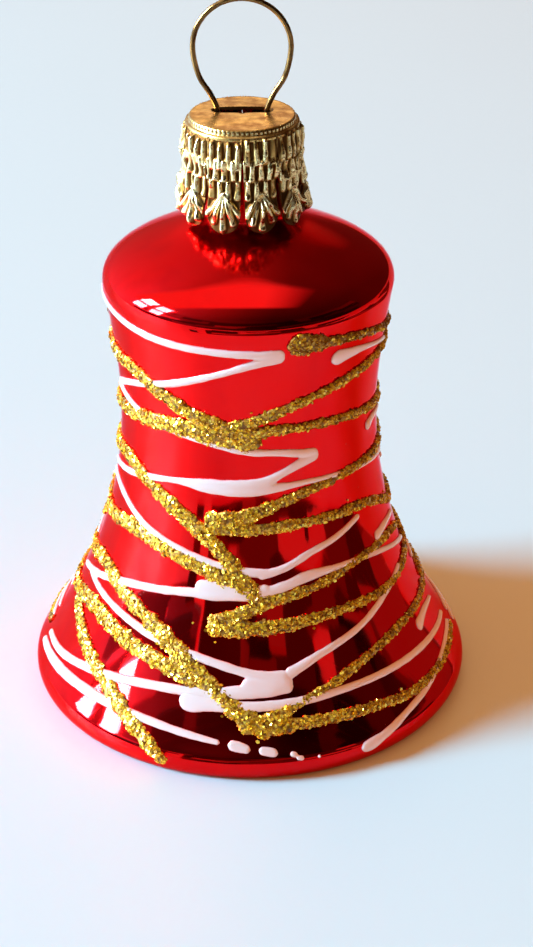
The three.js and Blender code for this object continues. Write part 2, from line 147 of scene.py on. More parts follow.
def newGroup(name, inputs, outputs):
    group = bpy.data.node_groups.new(name, "ShaderNodeTree")
    for label, kind, value in inputs:
        socket = group.interface.new_socket(label, in_out="INPUT", socket_type=kind)
        socket.default_value = value
    for label, kind in outputs:
        group.interface.new_socket(label, in_out="OUTPUT", socket_type=kind)
    inside = group.nodes.new("NodeGroupInput")
    out = group.nodes.new("NodeGroupOutput")
    return group, inside, out


def useGroup(tree, group, inputs):
    return addNode(tree, "ShaderNodeGroup", inputs, node_tree=group)


def makeWaveGroup():
    # Slow swells of blown or drawn surfaces with a fine ripple on top, as a height.
    group, inside, out = newGroup(
        "surfaceWaves",
        [("Scale", "NodeSocketFloat", 100.0), ("Ripple", "NodeSocketFloat", 0.2)],
        [("Height", "NodeSocketFloat")],
    )
    place = objectPlace(group)
    slow = noiseOf(group, place, inside.outputs["Scale"], 1.0)
    fineScale = product(group, inside.outputs["Scale"], 7.0)
    fine = noiseOf(group, place, fineScale, 2.0)
    ripple = product(group, fine, inside.outputs["Ripple"])
    group.links.new(mathNode(group, "ADD", slow, ripple), out.inputs["Height"])
    return group


def makeDustGroup():
    # Sparse round specks and a faint uneven film, as a mask.
    group, inside, out = newGroup(
        "dustSpecks",
        [
            ("Scale", "NodeSocketFloat", 700.0),
            ("Cover", "NodeSocketFloat", 0.06),
            ("Film", "NodeSocketFloat", 0.3),
        ],
        [("Mask", "NodeSocketFloat")],
    )
    place = objectPlace(group)
    cells = addNode(group, "ShaderNodeTexVoronoi", {"Vector": place, "Scale": inside.outputs["Scale"]})
    size = product(group, inside.outputs["Cover"], 3.0)
    speck = mathNode(group, "SUBTRACT", size, cells.outputs["Distance"])
    speck = mathNode(group, "MULTIPLY", speck, 9.0, clamp=True)
    pick = addNode(group, "ShaderNodeSeparateColor", {"Color": cells.outputs["Color"]}).outputs[0]
    few = mathNode(group, "LESS_THAN", pick, inside.outputs["Cover"])
    speck = product(group, speck, few)
    cloud = noiseOf(group, place, 90.0, 4.0)
    film = product(group, mathNode(group, "SUBTRACT", cloud, 0.45, clamp=True), inside.outputs["Film"])
    group.links.new(mathNode(group, "ADD", speck, film, clamp=True), out.inputs["Mask"])
    return group


def makeScratchGroup():
    # Hairline marks that run in two directions, as a mask.
    group, inside, out = newGroup(
        "hairScratches",
        [("Scale", "NodeSocketFloat", 200.0), ("Amount", "NodeSocketFloat", 0.5)],
        [("Mask", "NodeSocketFloat")],
    )
    place = objectPlace(group)
    total = None
    for turn in (0.5, 1.9):
        drawn = {"Vector": place, "Rotation": (turn, turn * 0.7, turn), "Scale": (1, 22, 1)}
        mapped = addNode(group, "ShaderNodeMapping", drawn)
        lines = noiseOf(group, mapped.outputs[0], inside.outputs["Scale"], 1.0)
        line = mathNode(group, "MULTIPLY", mathNode(group, "SUBTRACT", lines, 0.66), 14.0, clamp=True)
        total = line if total is None else mathNode(group, "MAXIMUM", total, line)
    group.links.new(product(group, total, inside.outputs["Amount"]), out.inputs["Mask"])
    return group


def makeReliefGroup():
    # Splits a stored relief height into worn tops and creases darkened as painted shade.
    group, inside, out = newGroup(
        "reliefWearAndShade",
        [("Relief", "NodeSocketFloat", 0.5), ("Depth", "NodeSocketFloat", 0.5)],
        [("CreaseShade", "NodeSocketFloat"), ("Top", "NodeSocketFloat")],
    )
    place = objectPlace(group)
    cloud = noiseOf(group, place, 900.0, 3.0)
    uneven = product(group, mathNode(group, "SUBTRACT", cloud, 0.5), 0.5)
    level = mathNode(group, "ADD", inside.outputs["Relief"], uneven)
    creaseShade = mathNode(group, "SUBTRACT", inside.outputs["Depth"], level)
    group.links.new(mathNode(group, "MULTIPLY", creaseShade, 2.6, clamp=True), out.inputs["CreaseShade"])
    top = mathNode(group, "SUBTRACT", level, 0.62)
    group.links.new(mathNode(group, "MULTIPLY", top, 3.0, clamp=True), out.inputs["Top"])
    return group


def makeGrainGroup():
    # One tone for each glitter grain, from a value stored on it.
    group, inside, out = newGroup(
        "grainTones",
        [("Tone", "NodeSocketFloat", 0.5), ("Dark", "NodeSocketColor", (0.1, 0.05, 0.01, 1)),
         ("Middle", "NodeSocketColor", (0.5, 0.3, 0.06, 1)), ("Light", "NodeSocketColor", (0.9, 0.7, 0.3, 1))],
        [("Color", "NodeSocketColor")],
    )
    low = rangeNode(group, inside.outputs["Tone"], 0.0, 0.35)
    high = rangeNode(group, inside.outputs["Tone"], 0.55, 1.0)
    first = mixColour(group, low, inside.outputs["Dark"], inside.outputs["Middle"])
    group.links.new(mixColour(group, high, first, inside.outputs["Light"]), out.inputs["Color"])
    return group


surfaceWaves = makeWaveGroup()
dustSpecks = makeDustGroup()
hairScratches = makeScratchGroup()
reliefWearAndShade = makeReliefGroup()
grainTones = makeGrainGroup()
print("effects built")


def newMaterial(name):
    material = bpy.data.materials.new(name)
    material.use_nodes = True
    tree = material.node_tree
    shader = tree.nodes["Principled BSDF"]
    return material, tree, shader


def bumpFrom(tree, height, strength, distance, under=None):
    inputs = {"Height": height, "Strength": strength, "Distance": distance}
    if under is not None:
        inputs["Normal"] = under
    return addNode(tree, "ShaderNodeBump", inputs).outputs["Normal"]


def makeRedLacquer():
    look = {"deep": (0.86, 0.001, 0.003), "bright": (1.0, 0.003, 0.004), "dust": (0.75, 0.30, 0.32)}
    material, tree, shader = newMaterial("redLacquer")
    place = objectPlace(tree)
    runs = addNode(tree, "ShaderNodeMapping", {"Vector": place, "Scale": (1, 1, 0.25)})
    thickness = noiseOf(tree, runs.outputs[0], 130.0, 3.0)
    tint = rampNode(tree, thickness, [(0.30, look["deep"]), (0.52, look["bright"])])
    dust = useGroup(tree, dustSpecks, {"Scale": 650.0, "Cover": 0.035, "Film": 0.10}).outputs["Mask"]
    marks = useGroup(tree, hairScratches, {"Scale": 120.0, "Amount": 0.3}).outputs["Mask"]
    rough = mathNode(tree, "ADD", product(tree, dust, 0.35), product(tree, marks, 0.12))
    high = addNode(tree, "ShaderNodeSeparateXYZ", {"Vector": place}).outputs["Z"]
    settled = rangeNode(tree, high, 0.0552, 0.0572, 0.055, 0.2)
    rough = mathNode(tree, "ADD", rough, settled)
    # Painted shade: the red darkens over the lowest 4 mm towards the rim, where the bell stands on the table.
    paintedLipShade = rangeNode(tree, high, 0.0, 0.004, 0.6, 0.0)
    tint = mixColour(tree, paintedLipShade, tint, (0.40, 0.001, 0.006))
    colour = mixColour(tree, product(tree, dust, 0.35), tint, look["dust"])
    waves = useGroup(tree, surfaceWaves, {"Scale": 105.0, "Ripple": 0.008}).outputs["Height"]
    normal = bumpFrom(tree, waves, 0.28, 0.0006)
    normal = bumpFrom(tree, marks, 0.05, 0.00003, normal)
    feed(tree, shader, {
        "Base Color": colour, "Metallic": 1.0, "Roughness": rough, "Normal": normal,
        "Specular Tint": (1.0, 0.12, 0.20, 1.0), "Coat Weight": 0.15, "Coat Roughness": 0.02,
    })
    return material


def makeSilverInside():
    look = {"stained": (0.30, 0.26, 0.20), "dull": (0.70, 0.70, 0.68), "bright": (0.86, 0.86, 0.85)}
    material, tree, shader = newMaterial("silverInside")
    place = objectPlace(tree)
    stain = noiseOf(tree, place, 140.0, 6.0)
    stain.node.inputs["Roughness"].default_value = 0.7
    tones = [(0.28, look["stained"]), (0.45, look["dull"]), (0.7, look["bright"])]
    colour = rampNode(tree, stain, tones)
    rough = rampNode(tree, stain, [(0.3, grey(0.42)), (0.6, grey(0.13))])
    waves = useGroup(tree, surfaceWaves, {"Scale": 160.0, "Ripple": 0.2}).outputs["Height"]
    normal = bumpFrom(tree, waves, 0.5, 0.0006)
    feed(tree, shader, {"Base Color": colour, "Metallic": 1.0, "Roughness": rough, "Normal": normal})
    return material


def makeCapGold():
    look = {
        "creaseShade": (0.09, 0.025, 0.005), "tarnish": (0.52, 0.26, 0.06), "sheet": (0.90, 0.58, 0.18),
        "worn": (1.0, 0.82, 0.42), "roughness": 0.22,
    }
    material, tree, shader = newMaterial("capGold")
    relief = storedValue(tree, "relief")
    wearAndShade = useGroup(tree, reliefWearAndShade, {"Relief": relief, "Depth": 0.72})
    place = objectPlace(tree)
    cloud = noiseOf(tree, place, 420.0, 5.0)
    sheet = rampNode(tree, cloud, [(0.36, look["tarnish"]), (0.58, look["sheet"])])
    colour = mixColour(tree, wearAndShade.outputs["Top"], sheet, look["worn"])
    # Painted shade: the creases of the relief, the mill grooves and the petals' inner sheet are darkened towards near
    # black.
    colour = mixColour(tree, product(tree, wearAndShade.outputs["CreaseShade"], 0.93), colour, look["creaseShade"])
    marks = useGroup(tree, hairScratches, {"Scale": 420.0, "Amount": 0.6}).outputs["Mask"]
    rough = mathNode(tree, "ADD", product(tree, wearAndShade.outputs["CreaseShade"], 0.25), product(tree, marks, 0.15))
    rough = mathNode(tree, "ADD", rough, look["roughness"])
    waves = useGroup(tree, surfaceWaves, {"Scale": 900.0, "Ripple": 0.5}).outputs["Height"]
    normal = bumpFrom(tree, waves, 0.35, 0.00006)
    normal = bumpFrom(tree, marks, 0.2, 0.00002, normal)
    feed(tree, shader, {"Base Color": colour, "Metallic": 1.0, "Roughness": rough, "Normal": normal})
    return material


def makeWireMetal(name, light, dark, roughness):
    material, tree, shader = newMaterial(name)
    place = objectPlace(tree)
    cloud = noiseOf(tree, place, 380.0, 5.0)
    colour = rampNode(tree, cloud, [(0.32, dark), (0.58, light)])
    marks = useGroup(tree, hairScratches, {"Scale": 700.0, "Amount": 0.8}).outputs["Mask"]
    rough = mathNode(tree, "ADD", product(tree, marks, 0.2), roughness)
    waves = useGroup(tree, surfaceWaves, {"Scale": 700.0, "Ripple": 0.4}).outputs["Height"]
    normal = bumpFrom(tree, waves, 0.3, 0.00005)
    feed(tree, shader, {"Base Color": colour, "Metallic": 1.0, "Roughness": rough, "Normal": normal})
    return material


def makeWhiteEnamel():
    look = {"thick": (0.95, 0.66, 0.63), "thin": (0.80, 0.30, 0.34)}
    material, tree, shader = newMaterial("whiteEnamel")
    body = storedValue(tree, "bead")
    place = objectPlace(tree)
    cloud = noiseOf(tree, place, 500.0, 3.0)
    uneven = product(tree, mathNode(tree, "SUBTRACT", cloud, 0.5), 0.4)
    cover = mathNode(tree, "ADD", body, uneven)
    colour = rampNode(tree, cover, [(0.05, look["thin"]), (0.5, look["thick"])])
    dust = useGroup(tree, dustSpecks, {"Scale": 1500.0, "Cover": 0.08, "Film": 0.3}).outputs["Mask"]
    colour = mixColour(tree, product(tree, dust, 0.3), colour, (0.45, 0.30, 0.26))
    rough = mathNode(tree, "ADD", product(tree, dust, 0.4), 0.16)
    waves = useGroup(tree, surfaceWaves, {"Scale": 650.0, "Ripple": 0.3}).outputs["Height"]
    feed(tree, shader, {
        "Base Color": colour, "Roughness": rough, "Normal": bumpFrom(tree, waves, 0.35, 0.00008),
        "Subsurface Weight": 0.15, "Subsurface Radius": (0.9, 0.35, 0.3), "Subsurface Scale": 0.0004,
        "Coat Weight": 0.4, "Coat Roughness": 0.08,
    })
    return material


def makeGlueGold():
    # Painted shade: the glue is kept dark brown so that the gaps between the grains read as shade.
    look = {"dark": (0.15, 0.055, 0.006), "middle": (0.42, 0.20, 0.012), "light": (0.72, 0.42, 0.05)}
    material, tree, shader = newMaterial("glueGoldAndGapShade")
    place = objectPlace(tree)
    cells = addNode(tree, "ShaderNodeTexVoronoi", {"Vector": place, "Scale": 3200.0})
    tone = addNode(tree, "ShaderNodeSeparateColor", {"Color": cells.outputs["Color"]}).outputs[0]
    colour = rampNode(tree, tone, [(0.1, look["dark"]), (0.6, look["middle"]), (0.95, look["light"])])
    rough = rampNode(tree, cells.outputs["Distance"], [(0.1, grey(0.28)), (0.6, grey(0.55))])
    feed(tree, shader, {
        "Base Color": colour, "Metallic": 0.45, "Roughness": rough,
        "Normal": bumpFrom(tree, cells.outputs["Distance"], 0.5, 0.0001), "Coat Weight": 0.2,
    })
    return material


def makeGlitter():
    look = {"Dark": (0.26, 0.085, 0.006, 1), "Middle": (0.95, 0.52, 0.018, 1), "Light": (1.0, 0.76, 0.12, 1)}
    material, tree, shader = newMaterial("goldGlitter")
    tone = storedValue(tree, "grain")
    tones = useGroup(tree, grainTones, {"Tone": tone, **look})
    place = objectPlace(tree)
    cloud = noiseOf(tree, place, 5200.0, 2.0)
    rough = rampNode(tree, cloud, [(0.35, grey(0.14)), (0.65, grey(0.34))])
    feed(tree, shader, {
        "Base Color": tones.outputs["Color"], "Metallic": 0.6, "Roughness": rough,
        "Normal": bumpFrom(tree, cloud, 0.25, 0.00003), "Coat Weight": 0.1,
    })
    return material


def makeBeadLustre():
    material, tree, shader = newMaterial("beadLustre")
    place = objectPlace(tree)
    bands = {"Vector": place, "Scale": 90.0, "Distortion": 6.0, "Detail": 3.0}
    swirl = addNode(tree, "ShaderNodeTexWave", bands, wave_type="RINGS")
    colour = rampNode(tree, swirl.outputs["Fac"], [(0.2, (0.62, 0.56, 0.46)), (0.8, (0.82, 0.79, 0.72))])
    dust = useGroup(tree, dustSpecks, {"Scale": 900.0, "Cover": 0.06, "Film": 0.3}).outputs["Mask"]
    rough = mathNode(tree, "ADD", product(tree, dust, 0.3), 0.08)
    waves = useGroup(tree, surfaceWaves, {"Scale": 260.0, "Ripple": 0.2}).outputs["Height"]
    feed(tree, shader, {
        "Base Color": colour, "Metallic": 0.35, "Roughness": rough,
        "Normal": bumpFrom(tree, waves, 0.3, 0.0003), "Coat Weight": 0.8, "Coat Roughness": 0.03,
    })
    return material


redLacquer = makeRedLacquer()
silverInside = makeSilverInside()
capGold = makeCapGold()
hangerGold = makeWireMetal("hangerGold", (0.32, 0.17, 0.055), (0.11, 0.045, 0.015), 0.2)
drawnSteel = makeWireMetal("drawnSteel", (0.30, 0.29, 0.27), (0.16, 0.14, 0.12), 0.46)
whiteEnamel = makeWhiteEnamel()
glueGoldAndGapShade = makeGlueGold()
goldGlitter = makeGlitter()
beadLustre = makeBeadLustre()
print("materials built")


def makeObject(name, points, faces, materials, smooth=True, attributes=None, faceSlots=None):
    mesh = bpy.data.meshes.new(name)
    mesh.from_pydata(np.asarray(points, float) * mm, [], faces if isinstance(faces, list) else faces.tolist())
    mesh.validate()
    for material in materials:
        mesh.materials.append(material)
    if smooth:
        mesh.shade_smooth()
    for label, values in (attributes or {}).items():
        layer = mesh.attributes.new(label, "FLOAT", "POINT")
        layer.data.foreach_set("value", np.asarray(values, np.float32))
    if faceSlots is not None:
        mesh.polygons.foreach_set("material_index", np.asarray(faceSlots, np.int32))
    thing = bpy.data.objects.new(name, mesh)
    bpy.context.scene.collection.objects.link(thing)
    return thing


def finishPiece(thing, body, slot, *nodes):
    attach(thing, body)
    if nodes:
        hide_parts(*nodes)
    return thing


def gridFaces(rows, columns, wrapColumns=False, wrapRows=False):
    r = np.arange(rows if wrapRows else rows - 1)[:, None]
    c = np.arange(columns if wrapColumns else columns - 1)[None, :]
    r2 = (r + 1) % rows
    c2 = (c + 1) % columns
    corners = (r * columns + c, r * columns + c2, r2 * columns + c2, r2 * columns + c)
    return np.stack(np.broadcast_arrays(*corners), -1).reshape(-1, 4)


def revolved(radius, height, turn, centre=0.0):
    # Rings of points at a radius and a height, starting at the front.
    spread = (radius * np.sin(turn) + centre, -radius * np.cos(turn), height)
    return np.stack(np.broadcast_arrays(*spread), -1).reshape(-1, 3)


def smoothPath(points, count):
    # Centripetal Catmull-Rom through the points, evenly spaced along its length.
    p = np.asarray(points, float)
    p = np.vstack([2 * p[0] - p[1], p, 2 * p[-1] - p[-2]])
    made = []
    for i in range(1, len(p) - 2):
        p0, p1, p2, p3 = p[i - 1:i + 3]
        t1 = np.linalg.norm(p1 - p0) ** 0.5
        t2 = t1 + np.linalg.norm(p2 - p1) ** 0.5
        t3 = t2 + np.linalg.norm(p3 - p2) ** 0.5
        t = np.linspace(t1, t2, 24, endpoint=False)[:, None]
        a1 = (t1 - t) / t1 * p0 + t / t1 * p1
        a2 = (t2 - t) / (t2 - t1) * p1 + (t - t1) / (t2 - t1) * p2
        a3 = (t3 - t) / (t3 - t2) * p2 + (t - t2) / (t3 - t2) * p3
        b1 = (t2 - t) / t2 * a1 + t / t2 * a2
        b2 = (t3 - t) / (t3 - t1) * a2 + (t - t1) / (t3 - t1) * a3
        made.append((t2 - t) / (t2 - t1) * b1 + (t - t1) / (t2 - t1) * b2)
    made.append(p[-2][None, :])
    made = np.vstack(made)
    reach = np.concatenate([[0], np.cumsum(np.linalg.norm(np.diff(made, axis=0), axis=1))])
    even = np.linspace(0, reach[-1], count)
    return np.stack([np.interp(even, reach, made[:, k]) for k in range(made.shape[1])], 1)


def tubeMesh(path, radius, sides=20):
    # A round wire along a path, with domed ends.
    path = np.asarray(path, float)
    ahead = np.gradient(path, axis=0)
    ahead /= np.linalg.norm(ahead, axis=1)[:, None]
    side = np.cross(ahead[0], (0.3, 0.9, 0.2))
    side /= np.linalg.norm(side)
    rings = []
    turn = np.linspace(0, 2 * np.pi, sides, endpoint=False)
    dome = [(-0.8, 0.6), (-0.4, 0.92)]
    for i, (place, along) in enumerate(zip(path, ahead)):
        side = side - along * np.dot(side, along)
        side /= np.linalg.norm(side)
        other = np.cross(along, side)
        ring = np.cos(turn)[:, None] * side + np.sin(turn)[:, None] * other
        if i == 0:
            rings += [place + along * radius * back + ring * radius * share for back, share in dome]
        rings.append(place + ring * radius)
        if i == len(path) - 1:
            rings += [place - along * radius * back + ring * radius * share for back, share in reversed(dome)]
    points = np.vstack(rings)
    faces = gridFaces(len(rings), sides, wrapColumns=True).tolist()
    faces.append(list(range(sides))[::-1])
    faces.append([len(points) - sides + k for k in range(sides)])
    return points, faces


def joinParts(parts):
    points, faces, offset = [], [], 0
    for part, polygons in parts:
        points.append(part)
        faces += [[v + offset for v in polygon] for polygon in polygons]
        offset += len(part)
    return np.vstack(points), faces


def ringPath(centre, radius, plane, count=48):
    turn = np.linspace(0, 2 * np.pi, count, endpoint=False)
    across = np.cos(turn) * radius
    upright = np.sin(turn) * radius
    zero = np.zeros(count)
    spread = (across, zero, upright) if plane == "xz" else (zero, across, upright)
    return np.stack(spread, 1) + centre


def ringMesh(centre, radius, wire, plane, sides=14):
    path = ringPath(centre, radius, plane)
    count = len(path)
    outward = (path - centre) / radius
    axis = np.array((0.0, 1.0, 0.0) if plane == "xz" else (1.0, 0.0, 0.0))
    turn = np.linspace(0, 2 * np.pi, sides, endpoint=False)
    section = np.cos(turn)[None, :, None] * outward[:, None, :] + np.sin(turn)[None, :, None] * axis
    points = path[:, None, :] + wire * section
    return points.reshape(-1, 3), gridFaces(count, sides, wrapColumns=True, wrapRows=True).tolist()


bell = {
    "waistRadius": 14.7, "waistHeight": 37, "shoulderRadius": 16.35, "shoulderHeight": 51,
    "shoulderRise": 2.4, "domeSlope": 0.4, "domeReach": 7, "domeRise": 6.5,
    "neckRadius": 4.8, "neckFillet": 1.7, "wall": 0.8,
    "lipRound": 2.2, "lipHeight": 1.9, "lipEnd": 35, "rimLand": 0.9, "flarePower": 2.2, "upperPower": 1.4, "sway": 0.05,
    "segments": 256, "lipRings": 26, "wallRings": 130, "domeRings": 70, "filletRings": 14, "neckRings": 8,
}
bell["rimRadius"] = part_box("glass_bell")[1].x / mm - 0.01
bell["neckTop"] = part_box("glass_bell")[1].z / mm
flareFoot = (
    bell["rimRadius"] - bell["lipRound"] + bell["lipRound"] * math.cos(math.radians(bell["lipEnd"])),
    bell["lipHeight"] + bell["lipRound"] * math.sin(math.radians(bell["lipEnd"])),
)


def bellRadius(height):
    # Outer radius of the glass, in millimetres, from the rim up to the shoulder.
    z = np.asarray(height, float)
    upper = np.clip((z - bell["waistHeight"]) / (bell["shoulderHeight"] - bell["waistHeight"]), 0, 1)
    lower = np.clip((bell["waistHeight"] - z) / (bell["waistHeight"] - flareFoot[1]), 0, 1)
    radius = bell["waistRadius"] + (bell["shoulderRadius"] - bell["waistRadius"]) * upper ** bell["upperPower"]
    radius = radius + (flareFoot[0] - bell["waistRadius"]) * lower ** bell["flarePower"]
    drop = np.clip(z - bell["lipHeight"], -bell["lipRound"], bell["lipRound"])
    lip = bell["rimRadius"] - bell["lipRound"] + np.sqrt(bell["lipRound"] ** 2 - drop ** 2)
    return np.where(z < flareFoot[1], lip, radius)


def curveQuadratic(start, control, end, count):
    t = np.linspace(0, 1, count)[1:, None]
    return (1 - t) ** 2 * np.array(start) + 2 * t * (1 - t) * np.array(control) + t ** 2 * np.array(end)


def curveCubic(start, first, second, end, count):
    t = np.linspace(0, 1, count)[1:, None]
    return (1 - t) ** 3 * start + 3 * t * (1 - t) ** 2 * first + 3 * t * t * (1 - t) * second + t ** 3 * end


def bellOutline():
    lipCentre = np.array((bell["rimRadius"] - bell["lipRound"], bell["lipHeight"]))
    start = -math.asin(bell["lipHeight"] / bell["lipRound"])
    angle = np.linspace(start, math.radians(bell["lipEnd"]), bell["lipRings"])
    lip = lipCentre + bell["lipRound"] * np.stack([np.cos(angle), np.sin(angle)], 1)
    heights = np.linspace(flareFoot[1], bell["shoulderHeight"], bell["wallRings"])[1:]
    wall = np.stack([bellRadius(heights), heights], 1)
    neckFoot = bell["shoulderHeight"] + bell["domeRise"]
    bend = np.array((bell["neckRadius"] + bell["neckFillet"], neckFoot))
    edge = wall[-1] + (0, bell["shoulderRise"])
    crown = bend + np.array((1, -bell["domeSlope"])) * bell["domeReach"]
    dome = curveCubic(wall[-1], edge, crown, bend, bell["domeRings"])
    neck = (bell["neckRadius"], neckFoot + bell["neckFillet"])
    corner = (bell["neckRadius"], neckFoot + bell["domeSlope"] * bell["neckFillet"])
    fillet = curveQuadratic(bend, corner, neck, bell["filletRings"])
    heights = np.linspace(neck[1], bell["neckTop"], bell["neckRings"])[1:]
    top = np.array([(bell["neckRadius"], z) for z in heights])
    return np.vstack([lip, wall, dome, fillet, top])


def makeBell():
    outer = bellOutline()
    along = np.gradient(outer, axis=0)
    along /= np.linalg.norm(along, axis=1)[:, None]
    inner = outer + bell["wall"] * np.stack([-along[:, 1], along[:, 0]], 1)
    inner = inner[inner[:, 1] > bell["lipHeight"]][::-2]  # the inside needs only half the rings
    inner[0, 1] = bell["neckTop"]
    rim = np.array([(outer[0, 0] - bell["rimLand"], 0.0)])
    profile = np.vstack([outer, inner, rim])
    turn = np.linspace(0, 2 * np.pi, bell["segments"], endpoint=False)
    # Blown glass is never quite round: a slow sway, always inwards, faded out at the rim and neck.
    height = profile[:, 1][:, None]
    fade = np.clip(height / 8, 0, 1) * np.clip((60 - height) / 10, 0, 1)
    sway = 0.5 + 0.25 * np.cos(2 * turn + 0.7) + 0.25 * np.cos(3 * turn + height * 0.09)
    radius = profile[:, 0][:, None] - bell["sway"] * fade * sway
    points = revolved(radius, height, turn)
    faces = gridFaces(len(profile), bell["segments"], wrapColumns=True, wrapRows=True)
    slots = np.zeros(len(faces), int)
    slots[len(outer) * bell["segments"]:] = 1
    glass = makeObject("bellGlass", points, faces, [redLacquer, silverInside], faceSlots=slots)
    return finishPiece(glass, "bell", "red_glass", "glass_bell")


makeBell()
print("bell made")


capLow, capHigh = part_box("crown_cap")
cap = {
    "centre": -0.55, "top": capHigh.z / mm + 0.3, "tip": capLow.z / mm + 0.35, "topRadius": 6.25,
    "tipRadius": 6.95, "edgeRadius": 5.8, "skirtDrop": 0.8, "petals": 10, "sheet": 0.24, "topSheet": 0.3,
    "slotLength": 6.6, "slotWidth": 1.9, "slotBack": 0.9, "mills": 72, "millDepth": 0.07,
    "crumple": 0.22, "emboss": 0.42, "embossBack": 0.16, "dents": 0.8, "seed": 7,
    "petalWide": 18.3, "petalNarrows": 3.2,  # half a petal, in degrees, and how much it narrows
    "rows": 108, "columns": 44,
}


def dropRow(across, down, top, bottom, count, shift, width):
    # A row of hanging drops, each narrow at its top and round at its foot, as a height from 0 to 1.
    pitch = width / count
    cell = (across / pitch + shift) % 1.0 - 0.5
    share = np.clip((down - top) / (bottom - top), 0, 1)
    half = pitch * (0.26 + 0.22 * share)
    foot = bottom - half
    beyond = np.maximum(down - foot, 0)
    distance = np.hypot(cell * pitch, beyond) / half
    height = np.sqrt(np.clip(1 - distance ** 2, 0, 1))
    return height * np.clip((down - top) / 0.35, 0, 1)


def palmette(across, down, top, bottom):
    # Five lobes that spread from one root to the petal's tip.
    height = np.zeros_like(across)
    for lean in (-0.62, -0.32, 0, 0.32, 0.62):
        length = (bottom - top) * (1 - 0.32 * abs(lean))
        dy = down - top
        along = across * math.sin(lean) + dy * math.cos(lean)
        aside = across * math.cos(lean) - dy * math.sin(lean)
        half = 0.12 + 0.34 * np.clip(along / length, 0, 1)
        beyond = np.maximum(along - (length - half), 0) + np.maximum(-along, 0) * 3
        height = np.maximum(height, np.sqrt(np.clip(1 - (np.hypot(aside, beyond) / half) ** 2, 0, 1)))
    return height


def petalRelief(across, down, length, width, shift):
    top = dropRow(across, down + shift[0], 0.1, 3.3, 4, 0, width) * 0.85
    second = dropRow(across, down + shift[1], 2.3, 5.0, 4, 0.5, width) * 1.1
    third = dropRow(across, down + shift[2], 4.2, 6.7, 4, 0, width)
    fan = palmette(across, down, 5.9, length - 0.25) * 1.3
    edge = np.clip((np.abs(across) / (width / 2) - 0.86) / 0.1, 0, 1) * 0.35
    return np.maximum.reduce([top, second, third, fan, edge])


def softened(field):
    # Averages each value with its neighbours a few times.
    for _ in range(6):
        padded = np.pad(field, 1, mode="edge")
        field = (padded[:-2, 1:-1] + padded[2:, 1:-1] + padded[1:-1, :-2] + padded[1:-1, 2:] + field * 2) / 6
    return field


def makePetals():
    rows, columns = cap["rows"], cap["columns"]
    rng = np.random.default_rng(cap["seed"])
    start = cap["top"] - cap["skirtDrop"]
    length = start - cap["tip"]
    parts, relief = [], []
    for i in range(cap["petals"]):
        middle = 2 * math.pi * (i + 0.5) / cap["petals"]
        share = np.linspace(0, 1, rows)[:, None]
        s = np.linspace(-1, 1, columns)[None, :]
        half = np.radians(cap["petalWide"]) - np.radians(cap["petalNarrows"]) * share ** 0.8
        tipShare = np.clip((share - 0.80) / 0.20, 0, 1)
        half = half * np.sqrt(np.clip(1 - tipShare ** 2.4, 0.02, 1))
        angle = middle + s * half
        base = cap["topRadius"] + (cap["tipRadius"] - cap["topRadius"]) * share ** 1.2
        base = base + 0.12 * np.sin(share * 9.0)
        down = np.broadcast_to(share * length, (rows, columns))
        across = s * half * base
        width = 2 * math.radians(16) * 6.9
        height = petalRelief(across + rng.uniform(-0.15, 0.15), down, length, width, rng.uniform(-0.3, 0.3, 3))
        dents = np.array([[noise.noise(Vector((a * 1.1, d * 0.7, i * 5.1))) for a, d in zip(ra, rd)]
                          for ra, rd in zip(across[::4, ::2], down[::4, ::2])])
        dents = dents.repeat(4, 0).repeat(2, 1)[:rows, :columns]
        dents = softened(dents)
        height = height * (1 + cap["dents"] * dents)
        lean = 0.10 * math.sin(i * 2.3) * share ** 2 + cap["crumple"] * dents
        outer = base + lean + cap["emboss"] * height - cap["embossBack"]
        inner = base + lean - cap["sheet"] + cap["embossBack"] * (height - 1)
        z = start - down - 0.06 * np.cos(s * 3) * tipShare
        sheets = [revolved(radius, z, angle, cap["centre"]) for radius in (outer, inner)]
        count = rows * columns
        front = gridFaces(rows, columns)
        border = list(range(columns)) + [r * columns + columns - 1 for r in range(1, rows)]
        border += [(rows - 1) * columns + c for c in range(columns - 2, -1, -1)]
        border += [r * columns for r in range(rows - 2, 0, -1)]
        faces = front[:, ::-1].tolist() + (front + count).tolist()
        faces += [[a, b, b + count, a + count] for a, b in zip(border, border[1:] + border[:1])]
        parts.append((np.vstack(sheets), faces))
        # The inner sheet gets a low relief, so it takes the painted crease shade under the petals.
        relief.append(np.concatenate([height.ravel(), np.full(count, 0.25)]))
    points, faces = joinParts(parts)
    petals = makeObject("capPetals", points, faces, [capGold], attributes={"relief": np.concatenate(relief)})
    finishPiece(petals, "cap", "cap_metal", "crown_cap")


